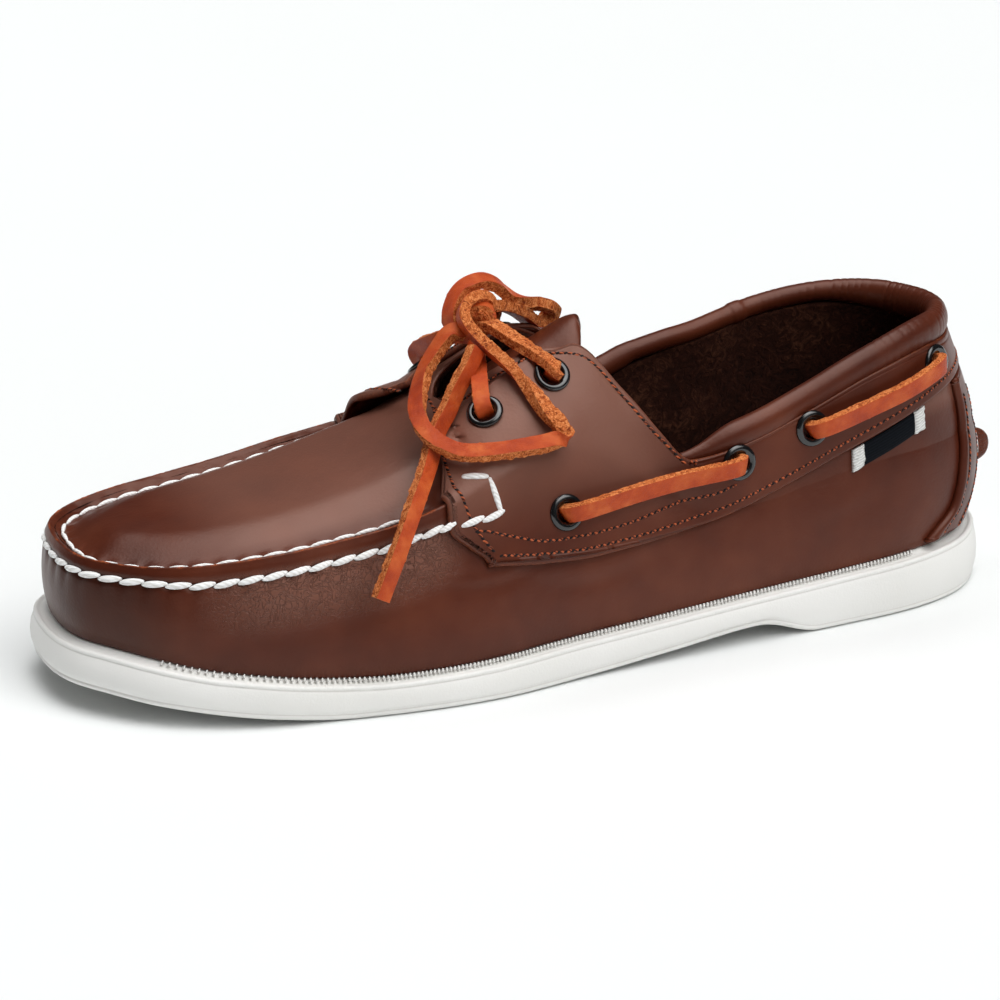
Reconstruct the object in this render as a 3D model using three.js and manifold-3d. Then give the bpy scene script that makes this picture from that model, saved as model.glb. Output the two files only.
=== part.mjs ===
// Left boat shoe, men's size 42, as a maker puts it together. Millimetres.
// Toe to -X, heel to +X, outer side of the foot to -Y, inner side to +Y, up +Z, floor at Z 0.
import * as THREE from 'three';
import { mergeVertices } from 'three/addons/utils/BufferGeometryUtils.js';
import Module from 'manifold-3d';

const wasm = await Module();
wasm.setup();

// ---- driving dimensions ------------------------------------------------------------------
const HALF_LENGTH = 149;      // half the length of the outsole's rim
const LEDGE = 4.5;            // how far the upper stands in from the rim
const FEATHER_UP = 1.6;       // the upper's bottom edge above the rim
const LEATHER = 2.2;          // wall of the upper
const GAP = 0.3;              // air between neighbouring pieces
const OVERLAY = 1.8;          // leather of saddle and heel stay
const RIDGE_DROP = 3.8;       // how deep the apron's seam groove lies below the smooth form
const RIDGE_SHARE = 0.55;     // share of a section's run that is wall, up to the seam ridge
const GROOVE_SHARE = 0.13;    // share of the top's run that the ridge takes
const THROAT_X = -30;         // the apron closes the top in front of this, the slot opens behind
const ROLL_RADIUS = 3.9;      // padded collar roll
const INSOLE_THICK = 3;
const EYELET_OUTER = 5.5;
const EYELET_HOLE = 3.0;
const EYELET_TALL = 1.5;

// ---- tables ------------------------------------------------------------------------------
// A table is a list of rows with named columns, read with a smooth curve between rows.
function table(columns, rows) {
  return rows.map((row) => Object.fromEntries(columns.map((name, i) => [name, row[i]])));
}

// Half widths of the outsole's rim, by the share of the length from the heel.
const OUTLINE = table(['from_heel', 'outer', 'inner'], [
  [0.013, 12.8, 12.8],
  [0.05, 25.5, 25.5],
  [0.12, 34.6, 34.6],
  [0.20, 38.1, 37.1],
  [0.30, 41.3, 33.5],
  [0.40, 44.6, 33.0],
  [0.50, 48.0, 36.5],
  [0.60, 53.0, 44.0],
  [0.68, 53.1, 50.3],
  [0.75, 50.9, 53.5],
  [0.82, 48.4, 52.2],
  [0.88, 42.6, 48.0],
  [0.93, 33.7, 42.0],
  [0.97, 21.3, 33.0],
  [0.992, 11.0, 22.0],
]);
const TOE_TIP_Y = 3.5;

// Heights of the outsole: its rim, and its underside with toe spring, ball, arch and heel.
const RIM = table(['x', 'z'], [
  [-149, 19.5], [-110, 14.3], [-60, 9.3], [0, 10.8], [60, 13.6], [149, 16.4],
]);
const UNDERSIDE = table(['x', 'z'], [
  [-149, 8.0], [-125, 5.6], [-95, 2.0], [-72, 0], [-28, 0], [0, 0.5], [30, 2.8], [60, 5.2],
  [81, 0], [149, 0],
]);
const BREAST_FOOT_X = 81;
const BREAST_TOP_X = 60;

// Where the shoe's middle line lies, seen from above.
const MIDDLE = table(['x', 'y'], [[-149, 3.5], [-100, 2.5], [-50, 0.5], [0, 0], [60, 0.5], [149, 0]]);

// Sections of the upper, one row per station of the outline, from toe to heel.
// at: x of the rim point. aim: where the section meets the middle line.
// ridge_in, ridge_z: the seam ridge, or the shoulder behind it. low, high: how far the wall bellies.
// turn_in, turn_up: how the top leaves the ridge. end_in, end_down: how it reaches its end.
// top_in, top_z: its end, at the middle line, the slot's edge or the collar.
const SECTION = ['at', 'aim', 'ridge_in', 'ridge_z', 'low', 'high', 'turn_in', 'turn_up', 'end_in',
  'end_down', 'top_in', 'top_z'];
const OUTER_SIDE = table(SECTION, [
  [-149, -112, 0.6, 46.0, 2.6, 2.6, 10, 3.0, 12, 1.0, 99, 52.0],
  [-140, -108, 1.2, 46.0, 2.6, 2.6, 10, 3.0, 12, 1.0, 99, 52.5],
  [-120, -97, 3.4, 47.0, 2.8, 2.4, 11, 4.0, 13, 1.0, 99, 54.0],
  [-100, -83, 5.0, 49.0, 2.8, 2.2, 12, 4.5, 15, 1.0, 99, 56.5],
  [-80, -68, 6.0, 51.0, 2.8, 2.0, 12, 5.0, 17, 1.0, 99, 60.0],
  [-60, -53, 7.5, 53.6, 2.8, 2.0, 11, 6.0, 18, 1.0, 99, 64.5],
  [-40, -37, 9.0, 58.0, 2.6, 3.0, 9, 8.0, 18, 1.5, 99, 71.5],
  [-30, -29, 9.5, 61.0, 2.6, 4.0, 7, 9.0, 16, 2.5, 44, 77.0],
  [-15, -15, 9.5, 65.0, 2.6, 4.5, 5, 10, 12, 4.0, 34, 87.0],
  [0, 0, 8.5, 67.0, 2.4, 4.5, 4, 11, 7, 6.0, 28, 93.0],
  [8, 8, 7.5, 65.0, 2.2, 4.0, 4, 10, 6, 7.0, 24, 92.5],
  [20, 20, 5.0, 58.0, 2.0, 3.0, 3, 8, 4, 6.0, 15, 79.5],
  [30, 30, 3.5, 50.0, 1.8, 2.4, 2, 5, 2, 5.0, 8, 67.5],
  [40, 40, 2.2, 43.0, 1.6, 1.8, 1, 4, 1, 4.0, 4.5, 59.0],
  [60, 60, 1.6, 42.0, 1.6, 1.6, 0.5, 5, 1, 5.0, 4.0, 62.0],
  [80, 79, 1.4, 45.0, 1.6, 1.6, 0.5, 6, 1, 6.0, 4.0, 68.5],
  [100, 97, 1.2, 48.0, 2.0, 1.8, 0.5, 6, 1.5, 6.0, 4.2, 75.3],
  [115, 108, 0.8, 49.0, 2.3, 2.2, 0.5, 7, 1.8, 7.0, 4.4, 79.0],
  [128, 114, 0.3, 49.0, 2.6, 2.4, 0.5, 8, 2, 7.0, 5.0, 80.3],
  [140, 118, -0.8, 49.0, 3.2, 3.0, 0.5, 9, 2.5, 8.0, 6.5, 80.0],
  [149, 120, -1.5, 49.0, 3.4, 3.2, 0.5, 9, 3, 9.0, 8.5, 79.5],
]);
const INNER_SIDE = table(SECTION, [
  [-149, -112, 0.6, 46.0, 2.6, 2.6, 10, 3.0, 12, 1.0, 99, 52.0],
  [-140, -108, 1.6, 46.5, 2.6, 2.6, 10, 3.0, 12, 1.0, 99, 52.5],
  [-120, -97, 5.5, 48.5, 2.8, 2.4, 11, 4.0, 13, 1.0, 99, 54.0],
  [-100, -83, 8.0, 50.0, 2.8, 2.2, 12, 4.5, 15, 1.0, 99, 56.5],
  [-80, -68, 9.0, 52.5, 2.8, 2.0, 12, 4.5, 17, 1.0, 99, 60.0],
  [-60, -53, 9.5, 57.0, 2.8, 2.0, 11, 5.0, 18, 1.0, 99, 64.5],
  [-40, -37, 9.5, 61.5, 2.6, 3.0, 9, 7.0, 16, 1.5, 99, 71.5],
  [-30, -29, 9.5, 63.0, 2.6, 4.0, 6, 9.0, 14, 2.5, 40, 77.0],
  [-15, -15, 8.5, 66.0, 2.6, 4.5, 5, 10, 11, 4.0, 28, 87.0],
  [0, 0, 7.0, 67.0, 2.4, 4.5, 4, 11, 6, 6.0, 22, 91.5],
  [8, 8, 5.5, 65.0, 2.2, 4.0, 4, 10, 5, 6.0, 18, 88.5],
  [20, 20, 3.5, 60.0, 2.0, 3.0, 3, 8, 3, 6.0, 10, 79.5],
  [30, 30, 2.5, 54.0, 1.8, 2.4, 2, 5, 2, 5.0, 5.5, 72.0],
  [40, 40, 1.8, 48.0, 1.6, 1.8, 1, 4, 1, 4.0, 3.5, 66.5],
  [60, 60, 1.4, 46.0, 1.6, 1.6, 0.5, 5, 1, 5.0, 3.0, 70.5],
  [80, 79, 1.2, 47.0, 1.6, 1.6, 0.5, 6, 1, 6.0, 3.0, 74.5],
  [100, 97, 1.0, 48.0, 2.0, 1.8, 0.5, 6, 1.5, 6.0, 3.6, 77.5],
  [115, 108, 0.6, 49.0, 2.3, 2.2, 0.5, 7, 1.8, 7.0, 4.2, 78.7],
  [128, 114, 0.3, 49.0, 2.6, 2.4, 0.5, 8, 2, 7.0, 4.8, 79.3],
  [140, 118, -0.8, 49.0, 3.2, 3.0, 0.5, 9, 2.5, 8.0, 6.5, 79.5],
  [149, 120, -1.5, 49.0, 3.4, 3.2, 0.5, 9, 3, 9.0, 8.5, 79.5],
]);

// Lower edge of the saddle and collar band: its height at each station.
const BAND_EDGE = table(['at', 'z'], [
  [-30, 41.0], [-13, 38.5], [1, 37.3], [28, 39.6], [42, 41.4], [61, 44.5], [81, 50.0], [95, 55.0],
  [109, 60.3], [126, 65.3], [140, 67.2], [149, 67.5],
]);
// Front edge of each saddle wing, from its lower corner up to the slot: station and share of section.
const OUTER_WING_FRONT = table(['share', 'at', 'run'], [
  [0, -30, 0.31], [0.12, -35, 0.37], [0.25, -41.5, 0.46], [0.45, -41.5, 0.58], [0.65, -38, 0.70],
  [0.85, -35, 0.84], [1, -31, 0.91],
]);
const INNER_WING_FRONT = table(['share', 'at', 'run'], [
  [0, -34, 0.31], [0.12, -38, 0.37], [0.25, -44, 0.46], [0.45, -46, 0.58], [0.65, -46, 0.70],
  [0.85, -44, 0.80], [1, -38, 0.86],
]);
// How far each wing curls up off the apron at its front, at the slot.
const OUTER_WING_LIFT = 2.0;
const INNER_WING_LIFT = 4.0;
const WING_LIFT_LENGTH = 28;

// Front edge of the heel stay: height and station.
const STAY_EDGE = table(['z', 'at'], [
  [18, 121], [23, 125.5], [27, 131], [33, 134], [41, 136], [49, 138], [58, 138.5], [66, 138],
]);
const STAY_FOOT = 0.03;       // share of the section where the stay starts
const STAY_THICK = 1.4;
const STAY_TOP_DROP = 0.8;    // how far it ends below the band's lower edge

// Eyelets on one side: station of the outline and height on the form.
const EYELETS = table(['at', 'outer_z', 'inner_z'], [
  [-21.6, 77.5, 77.5], [-0.4, 86.0, 86.0], [-3.2, 50.3, 51.5], [54.6, 56.0, 61.5], [79.7, 62.5, 67.5],
  [127.5, 74.0, 73.5],
]);

// ---- curves and small helpers --------------------------------------------------------------
function clamp(value, low, high) {
  return Math.max(low, Math.min(high, value));
}

function smooth(t) {
  const s = clamp(t, 0, 1);
  return s * s * (3 - 2 * s);
}

function cubic(t, h, y0, y1, m0, m1) {
  const a = 2 * t ** 3 - 3 * t ** 2 + 1;
  const b = t ** 3 - 2 * t ** 2 + t;
  const c = 3 * t ** 2 - 2 * t ** 3;
  const d = t ** 3 - t ** 2;
  return a * y0 + b * h * m0 + c * y1 + d * h * m1;
}

// A curve through (xs, ys) that never overshoots its rows and is level at both ends.
function through(xs, ys, x) {
  const last = xs.length - 1;
  if (x <= xs[0]) return ys[0];
  if (x >= xs[last]) return ys[last];
  const i = xs.findIndex((value) => value > x) - 1;
  const slope = (j) => {
    if (j === 0 || j === last) return 0;
    const before = (ys[j] - ys[j - 1]) / (xs[j] - xs[j - 1]);
    const after = (ys[j + 1] - ys[j]) / (xs[j + 1] - xs[j]);
    if (before * after <= 0) return 0;
    const wb = xs[j + 1] - xs[j];
    const wa = xs[j] - xs[j - 1];
    const mean = (wb * before + wa * after) / (wa + wb);
    return Math.sign(mean) * Math.min(Math.abs(mean), 3 * Math.abs(before), 3 * Math.abs(after));
  };
  const h = xs[i + 1] - xs[i];
  return cubic((x - xs[i]) / h, h, ys[i], ys[i + 1], slope(i), slope(i + 1));
}

function read(rows, key, x, column) {
  return through(rows.map((row) => row[key]), rows.map((row) => row[column]), x);
}

// The angle of an outline point: 0 at the toe tip, PI at the heel, positive on the outer side.
function angleOf(x) {
  return Math.acos(clamp(-x / HALF_LENGTH, -1, 1));
}

// ---- the outline ---------------------------------------------------------------------------
const RING = [{ angle: 0, y: TOE_TIP_Y }, { angle: Math.PI, y: 0 }];
for (const row of OUTLINE) {
  const angle = Math.acos(2 * row.from_heel - 1);
  RING.push({ angle, y: -row.outer });
  RING.push({ angle: -angle, y: row.inner });
}
RING.sort((a, b) => a.angle - b.angle);

function ringPoint(index) {
  const turns = Math.floor(index / RING.length);
  const point = RING[index - turns * RING.length];
  return { angle: point.angle + turns * 2 * Math.PI, y: point.y };
}

function outlineY(angle) {
  const turn = 2 * Math.PI;
  const a = angle - turn * Math.ceil((angle - Math.PI) / turn);
  let i = RING.findIndex((point) => point.angle > a) - 1;
  if (i < -1) i = RING.length - 1;
  const p = [ringPoint(i - 1), ringPoint(i), ringPoint(i + 1), ringPoint(i + 2)];
  const slope = (j) => {
    const s0 = (p[j].y - p[j - 1].y) / (p[j].angle - p[j - 1].angle);
    const s1 = (p[j + 1].y - p[j].y) / (p[j + 1].angle - p[j].angle);
    const w0 = p[j + 1].angle - p[j].angle;
    const w1 = p[j].angle - p[j - 1].angle;
    return (w0 * s0 + w1 * s1) / (w0 + w1);
  };
  const h = p[2].angle - p[1].angle;
  return cubic((a - p[1].angle) / h, h, p[1].y, p[2].y, slope(1), slope(2));
}

// A point of the rim, moved square to it by inset.
function outline(angle, inset) {
  const step = 1e-3;
  const x = (a) => -HALF_LENGTH * Math.cos(a);
  const tx = x(angle + step) - x(angle - step);
  const ty = outlineY(angle + step) - outlineY(angle - step);
  const length = Math.hypot(tx, ty);
  return { x: x(angle) - inset * ty / length, y: outlineY(angle) + inset * tx / length };
}

// ---- the form that upper and overlays share ---------------------------------------------------
function section(angle) {
  const rows = angle >= 0 ? OUTER_SIDE : INNER_SIDE;
  const stations = rows.map((row) => angleOf(row.at));
  const value = {};
  for (const name of SECTION.slice(1)) {
    value[name] = through(stations, rows.map((row) => row[name]), Math.abs(angle));
  }
  return value;
}

function bezier(p, t) {
  const s = 1 - t;
  const w = [s * s * s, 3 * s * s * t, 3 * s * t * t, t * t * t];
  return [0, 1].map((axis) => w.reduce((sum, weight, i) => sum + weight * p[i][axis], 0));
}

// The seam ridge stands full in front of the saddle and fades out under it.
function ridgeAmount(x) {
  return 1 - smooth((x + 46) / 12);
}

function isClosed(x) {
  return x <= THROAT_X + 1e-6;
}

// A point of the form: run 0 is the bottom edge, 1 the middle line, the slot's edge or the collar.
function formPoint(angleIn, run) {
  const angle = angleIn - 2 * Math.PI * Math.ceil((angleIn - Math.PI) / (2 * Math.PI));
  const row = section(angle);
  const rimX = -HALF_LENGTH * Math.cos(angle);
  const foot = outline(angle, LEDGE);
  const footZ = read(RIM, 'x', rimX, 'z') + FEATHER_UP;
  const middleY = read(MIDDLE, 'x', row.aim, 'y');
  const length = Math.hypot(row.aim - foot.x, middleY - foot.y);
  const dx = (row.aim - foot.x) / length;
  const dy = (middleY - foot.y) / length;
  const topIn = isClosed(rimX) ? length : Math.min(row.top_in, length);
  const ridgeUp = row.ridge_z - footZ;
  const topUp = row.top_z - footZ;
  let point;
  if (run <= RIDGE_SHARE) {
    const low = [-row.low, 0.3 * ridgeUp];
    const high = [row.ridge_in - row.high, 0.72 * ridgeUp];
    point = bezier([[0, 0], low, high, [row.ridge_in, ridgeUp]], run / RIDGE_SHARE);
  } else {
    const t = (run - RIDGE_SHARE) / (1 - RIDGE_SHARE);
    const turn = [row.ridge_in + row.turn_in, ridgeUp + row.turn_up];
    const end = [topIn - row.end_in, topUp - row.end_down];
    point = bezier([[row.ridge_in, ridgeUp], turn, end, [topIn, topUp]], t);
    const fall = t < GROOVE_SHARE ? smooth(t / GROOVE_SHARE) : 1 - smooth((t - GROOVE_SHARE) / 0.4);
    point[1] -= RIDGE_DROP * ridgeAmount(foot.x) * fall;
  }
  return new THREE.Vector3(foot.x + dx * point[0], foot.y + dy * point[0], footZ + point[1]);
}

function formNormal(angle, run) {
  const step = 2e-3;
  const a = formPoint(angle - step, run);
  const b = formPoint(angle + step, run);
  const c = formPoint(angle, Math.max(run - step, 0));
  const d = formPoint(angle, Math.min(run + step, 1));
  return b.sub(a).cross(d.sub(c)).normalize();
}

// The form, grown outwards by off, or shrunk where off is negative.
function grown(angle, run, off) {
  const normal = formNormal(angle, run);
  const closed = run > 1 - 1e-9 && isClosed(-HALF_LENGTH * Math.cos(angle));
  if (closed) normal.add(formNormal(-angle, run)).normalize();
  return formPoint(angle, run).addScaledVector(normal, off);
}

// The share of a section at which the form reaches a height.
function runAtHeight(angle, z) {
  let low = 0;
  let high = 1;
  for (let i = 0; i < 30; i += 1) {
    const middle = (low + high) / 2;
    if (formPoint(angle, middle).z < z) low = middle;
    else high = middle;
  }
  return (low + high) / 2;
}

// ---- solids ------------------------------------------------------------------------------------
const triangles = (corners) => {
  const geometry = new THREE.BufferGeometry();
  const values = corners.flatMap((corner) => [corner.x, corner.y, corner.z]);
  geometry.setAttribute('position', new THREE.Float32BufferAttribute(values, 3));
  return welded(geometry);
};

// Shared corners become one, and triangles that shrink to a line are dropped.
function welded(geometry) {
  const bare = geometry.index ? geometry.toNonIndexed() : geometry.clone();
  bare.deleteAttribute('normal');
  bare.deleteAttribute('uv');
  const merged = mergeVertices(bare, 1e-3);
  const old = merged.index.array;
  const kept = [];
  for (let i = 0; i < old.length; i += 3) {
    const [a, b, c] = [old[i], old[i + 1], old[i + 2]];
    if (a !== b && b !== c && c !== a) kept.push(a, b, c);
  }
  merged.setIndex(kept);
  return merged;
}

function quad(corners, a, b, c, d) {
  const cutAC = a.distanceToSquared(c) <= b.distanceToSquared(d);
  if (cutAC) corners.push(a, b, c, a, c, d);
  else corners.push(a, b, d, b, c, d);
}

// A sheet with thickness: two grids of points with the same rows and columns, joined at their rims.
function sheet(outer, inner, openRim = () => true) {
  const corners = [];
  const rows = outer.length - 1;
  const columns = outer[0].length - 1;
  for (let i = 0; i < rows; i += 1) {
    for (let j = 0; j < columns; j += 1) {
      quad(corners, outer[i][j], outer[i + 1][j], outer[i + 1][j + 1], outer[i][j + 1]);
      quad(corners, inner[i][j], inner[i][j + 1], inner[i + 1][j + 1], inner[i + 1][j]);
    }
    if (openRim('foot', i)) quad(corners, inner[i][0], inner[i + 1][0], outer[i + 1][0], outer[i][0]);
    if (openRim('top', i)) {
      const j = columns;
      quad(corners, outer[i][j], outer[i + 1][j], inner[i + 1][j], inner[i][j]);
    }
  }
  for (let j = 0; j < columns; j += 1) {
    if (openRim('start', j)) quad(corners, outer[0][j], outer[0][j + 1], inner[0][j + 1], inner[0][j]);
    if (openRim('end', j)) {
      const i = rows;
      quad(corners, inner[i][j], inner[i][j + 1], outer[i][j + 1], outer[i][j]);
    }
  }
  return corners;
}

// A bar whose section is a closed ring of points, one ring after another, closed at its pinched ends.
function ringBody(rings) {
  const corners = [];
  for (let i = 0; i + 1 < rings.length; i += 1) {
    const count = rings[i].length;
    for (let j = 0; j < count; j += 1) {
      const k = (j + 1) % count;
      quad(corners, rings[i][j], rings[i][k], rings[i + 1][k], rings[i + 1][j]);
    }
  }
  return triangles(corners);
}

function solid(geometry) {
  const mesh = welded(geometry);
  const vertProperties = new Float32Array(mesh.getAttribute('position').array);
  const triVerts = new Uint32Array(mesh.index.array);
  return new wasm.Manifold(new wasm.Mesh({ numProp: 3, vertProperties, triVerts }));
}

function geometryOf(manifold) {
  const mesh = manifold.getMesh();
  const geometry = new THREE.BufferGeometry();
  geometry.setAttribute('position', new THREE.BufferAttribute(mesh.vertProperties, 3));
  geometry.setIndex(new THREE.BufferAttribute(mesh.triVerts, 1));
  return geometry;
}

// ---- outsole and insole ---------------------------------------------------------------------------
const SOLE_STATIONS = [-149, -148, -145, -140, -132, -121, -107, -91, -72, -55, -40, -28, -10, 9, 28, 45,
  BREAST_TOP_X, 71, BREAST_FOOT_X, 97, 112, 125, 136, 143, 147, 149];
const INSOLE_STATIONS = [-149, -147, -141, -131, -115, -95, -70, -40, -10, 20, 50, 75, 100, 120, 135, 145,
  149];

function rimZ(x) {
  return read(RIM, 'x', x, 'z');
}

function undersideZ(x) {
  const z = read(UNDERSIDE, 'x', x, 'z');
  return z < 0.03 ? 0 : z;
}

// Points between two points, without the two.
function between(a, b, count, z) {
  const points = [];
  for (let i = 1; i <= count; i += 1) {
    const point = a.clone().lerp(b, i / (count + 1));
    points.push(new THREE.Vector3(point.x, point.y, z ? z(point.x) : point.z));
  }
  return points;
}

// One side of the outsole at an angle, from the seat of the upper down to the tread.
function soleSide(angle) {
  const rimX = -HALF_LENGTH * Math.cos(angle);
  const top = rimZ(rimX);
  const base = undersideZ(rimX);
  const belly = 0.5 + 0.5 * smooth((Math.abs(rimX) - 100) / 40);
  const at = (inset, z) => {
    const place = outline(angle, inset);
    return new THREE.Vector3(place.x, place.y, z);
  };
  const tread = outline(angle, 2.4);
  return [
    at(LEDGE + 0.3, top + FEATHER_UP - GAP),
    at(1.9, top + 0.1),
    at(0.9, top + 0.5),
    at(0.1, top - 0.3),
    at(-belly, (top + base) / 2),
    at(0.5, base + 1.4),
    new THREE.Vector3(tread.x, tread.y, undersideZ(tread.x)),
  ];
}

function outsole() {
  const rings = SOLE_STATIONS.map((x) => {
    const outer = soleSide(angleOf(x));
    const inner = soleSide(-angleOf(x)).reverse();
    const tread = between(outer[6], inner[0], 3, undersideZ);
    return [...outer, ...tread, ...inner, ...between(inner[6], outer[0], 3)];
  });
  return ringBody(rings);
}

const INSOLE_IN = LEDGE + LEATHER + 0.8;

function insole() {
  const rings = INSOLE_STATIONS.map((x) => {
    const seat = rimZ(x) + FEATHER_UP;
    const at = (angle, z) => {
      const place = outline(angle, INSOLE_IN);
      return new THREE.Vector3(place.x, place.y, z);
    };
    const a = angleOf(x);
    const low = [at(a, seat), at(-a, seat)];
    const high = [at(-a, seat + INSOLE_THICK), at(a, seat + INSOLE_THICK)];
    return [low[0], ...between(low[0], low[1], 2), low[1],
      high[0], ...between(high[0], high[1], 2), high[1]];
  });
  return ringBody(rings);
}

// ---- upper ------------------------------------------------------------------------------------------
const UPPER_STATIONS = [-149, -147, -142, -134, -123, -109, -94, -78, -63, -51, -41, THROAT_X, -22, -13,
  -3, 7, 16, 25, 35, 46, 61, 77, 93, 108, 121, 132, 141, 146.5, 149];
const UPPER_RUNS = [0, 0.13, 0.27, 0.41, RIDGE_SHARE,
  ...[GROOVE_SHARE, 0.3, 0.52, 0.76, 1].map((t) => RIDGE_SHARE + t * (1 - RIDGE_SHARE))];

// The hollow shell of the form between two growths.
function shell(outerOff, innerOff) {
  const outerAngles = UPPER_STATIONS.map(angleOf);
  const angles = [...outerAngles.slice(1).reverse().map((a) => -a), ...outerAngles];
  const grid = (off) => angles.map((angle) => UPPER_RUNS.map((run) => grown(angle, run, off)));
  const stationOf = (angle) => -HALF_LENGTH * Math.cos(angle);
  const open = (rim, i) => {
    if (rim === 'foot') return true;
    if (rim !== 'top') return false;
    return Math.max(stationOf(angles[i]), stationOf(angles[i + 1])) > THROAT_X + 0.01;
  };
  return triangles(sheet(grid(outerOff), grid(innerOff), open));
}

// ---- overlays: cut between two larger forms -----------------------------------------------------------
const SUNK = 1.1;             // an overlay starts this deep and is cut back to the gap
const EDGE_RUN = 0.992;       // overlays end just below the upper's own edge

function largest(body) {
  const parts = body.decompose();
  return geometryOf(parts.reduce((most, part) => (part.volume() > most.volume() ? part : most)));
}

// What is left of a piece outside the upper and its gap, without the slivers of the cut.
function laidOn(geometry) {
  return largest(solid(geometry).subtract(solid(shell(GAP, -LEATHER))).subtract(solid(shell(0, -LEATHER))));
}

function wingLift(angle, run) {
  const x = -HALF_LENGTH * Math.cos(angle);
  const most = angle >= 0 ? OUTER_WING_LIFT : INNER_WING_LIFT;
  return most * (1 - smooth((x + 44) / WING_LIFT_LENGTH)) * smooth((run - RIDGE_SHARE) / 0.25);
}

function bandEdgeRun(angle) {
  const x = -HALF_LENGTH * Math.cos(angle);
  return runAtHeight(angle, read(BAND_EDGE, 'at', x, 'z'));
}

// A place on the saddle and collar band. along: -1 inner front, 0 heel, 1 outer front. up: 0 to 1.
function saddlePlace(along, up) {
  const front = along > 0 ? OUTER_WING_FRONT : INNER_WING_FRONT;
  const frontAngle = angleOf(read(front, 'share', up, 'at'));
  const back = Math.PI;
  const angle = back + (frontAngle - back) * Math.abs(along);
  const nearFront = smooth((Math.abs(along) - 0.8) / 0.2);
  const plainRun = bandEdgeRun(angle) + (1 - bandEdgeRun(angle)) * up;
  const signed = along > 0 ? angle : -angle;
  const frontRun = read(front, 'share', up, 'run');
  const sideRun = bandEdgeRun(signed) + (1 - bandEdgeRun(signed)) * up;
  const run = along === 0 ? plainRun : sideRun + (frontRun - sideRun) * nearFront;
  return { angle: signed, run: Math.min(run, EDGE_RUN) };
}

const SADDLE_ALONG = [1, 0.98, 0.945, 0.9, 0.86, 0.815, 0.77, 0.72, 0.66, 0.58, 0.49, 0.4, 0.3, 0.2,
  0.1];
const SADDLE_UP = [0, 0.17, 0.35, 0.55, 0.78, 1];

function saddle() {
  const alongs = [...SADDLE_ALONG.map((a) => -a), 0, ...[...SADDLE_ALONG].reverse()].reverse();
  const grid = (off, sunk) => alongs.map((along) => SADDLE_UP.map((up) => {
    const place = saddlePlace(along, up);
    const lift = wingLift(place.angle, place.run);
    return grown(place.angle, place.run, off + lift - sunk * (1 - Math.min(lift, 1)));
  }));
  return laidOn(triangles(sheet(grid(GAP + OVERLAY, 0), grid(GAP, SUNK))));
}

const STAY_ALONG = [1, 0.75, 0.5, 0.25, 0, -0.25, -0.5, -0.75, -1];
const STAY_UP = [0, 0.1, 0.22, 0.4, 0.6, 0.8, 1];

function heelStay() {
  const place = (along, up) => {
    const topRun = runAtHeight(Math.PI, read(BAND_EDGE, 'at', HALF_LENGTH, 'z') - STAY_TOP_DROP);
    const guess = STAY_FOOT + (topRun - STAY_FOOT) * up;
    const z = formPoint(Math.PI, guess).z;
    const edge = angleOf(read(STAY_EDGE, 'z', z, 'at'));
    const angle = (Math.PI + (edge - Math.PI) * Math.abs(along)) * (along < 0 ? -1 : 1);
    const top = bandEdgeRun(angle) - 0.012;
    return { angle, run: STAY_FOOT + (top - STAY_FOOT) * up };
  };
  const grid = (off) => STAY_ALONG.map((along) => STAY_UP.map((up) => {
    const at = place(along, up);
    return grown(at.angle, at.run, off);
  }));
  return laidOn(triangles(sheet(grid(GAP + STAY_THICK), grid(GAP - SUNK))));
}

// ---- collar roll ------------------------------------------------------------------------------------------
function disc(radius, sides) {
  const points = [];
  for (let i = 0; i < sides; i += 1) {
    const turn = i * 2 * Math.PI / sides;
    points.push(new THREE.Vector2(radius * Math.cos(turn), radius * Math.sin(turn)));
  }
  return new THREE.Shape(points);
}

function tube(points, radius, sides, steps) {
  const extrudePath = new THREE.CatmullRomCurve3(points, false, 'centripetal');
  return new THREE.ExtrudeGeometry(disc(radius, sides), { steps, extrudePath, bevelEnabled: false });
}

const ROLL_CLEAR = 0.6;       // its facets dip this much between stations
const ROLL_SLOPE = 0.32;      // steepest climb of the collar line, radians
const ROLL_STATIONS = [42.5, 49, 55, 65, 75, 86, 97, 108, 118, 127, 135, 141, 145.5, 148.2];

function collarRoll() {
  const rise = (ROLL_RADIUS + GAP + ROLL_CLEAR) / Math.cos(ROLL_SLOPE);
  const angles = [...ROLL_STATIONS.map(angleOf), Math.PI, ...ROLL_STATIONS.map((x) => -angleOf(x)).reverse()];
  const points = angles.map((angle) => {
    const inward = grown(angle, 1, -LEATHER / 2);
    inward.z = formPoint(angle, 1).z + rise;
    return inward;
  });
  return tube(points, ROLL_RADIUS, 8, 38);
}

// ---- tongue --------------------------------------------------------------------------------------------------
// top: height at the middle. half: half width. sag: how far the sides hang below the middle.
const TONGUE = table(['x', 'top', 'half', 'sag'], [
  [-42, 66, 18, 8], [-34, 69, 19, 9], [-28, 71.8, 19, 10], [-20, 77.3, 19, 12], [-10, 83, 19, 13.5],
  [0, 88, 19, 14.5], [7, 91.5, 18, 15], [12, 94.3, 16, 13.5], [16, 96, 12, 9], [18, 96.3, 7, 3],
]);
const TONGUE_THICK = 2.8;
const ACROSS = [-1, -0.75, -0.5, -0.25, 0, 0.25, 0.5, 0.75, 1];

function tongue() {
  const grid = (drop) => TONGUE.map((row) => ACROSS.map((share) => {
    const z = row.top - row.sag * share * share - drop;
    return new THREE.Vector3(row.x, row.half * share, z);
  }));
  const clear = solid(shell(GAP, -LEATHER - GAP));
  return largest(solid(triangles(sheet(grid(0), grid(TONGUE_THICK)))).subtract(clear));
}

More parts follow.
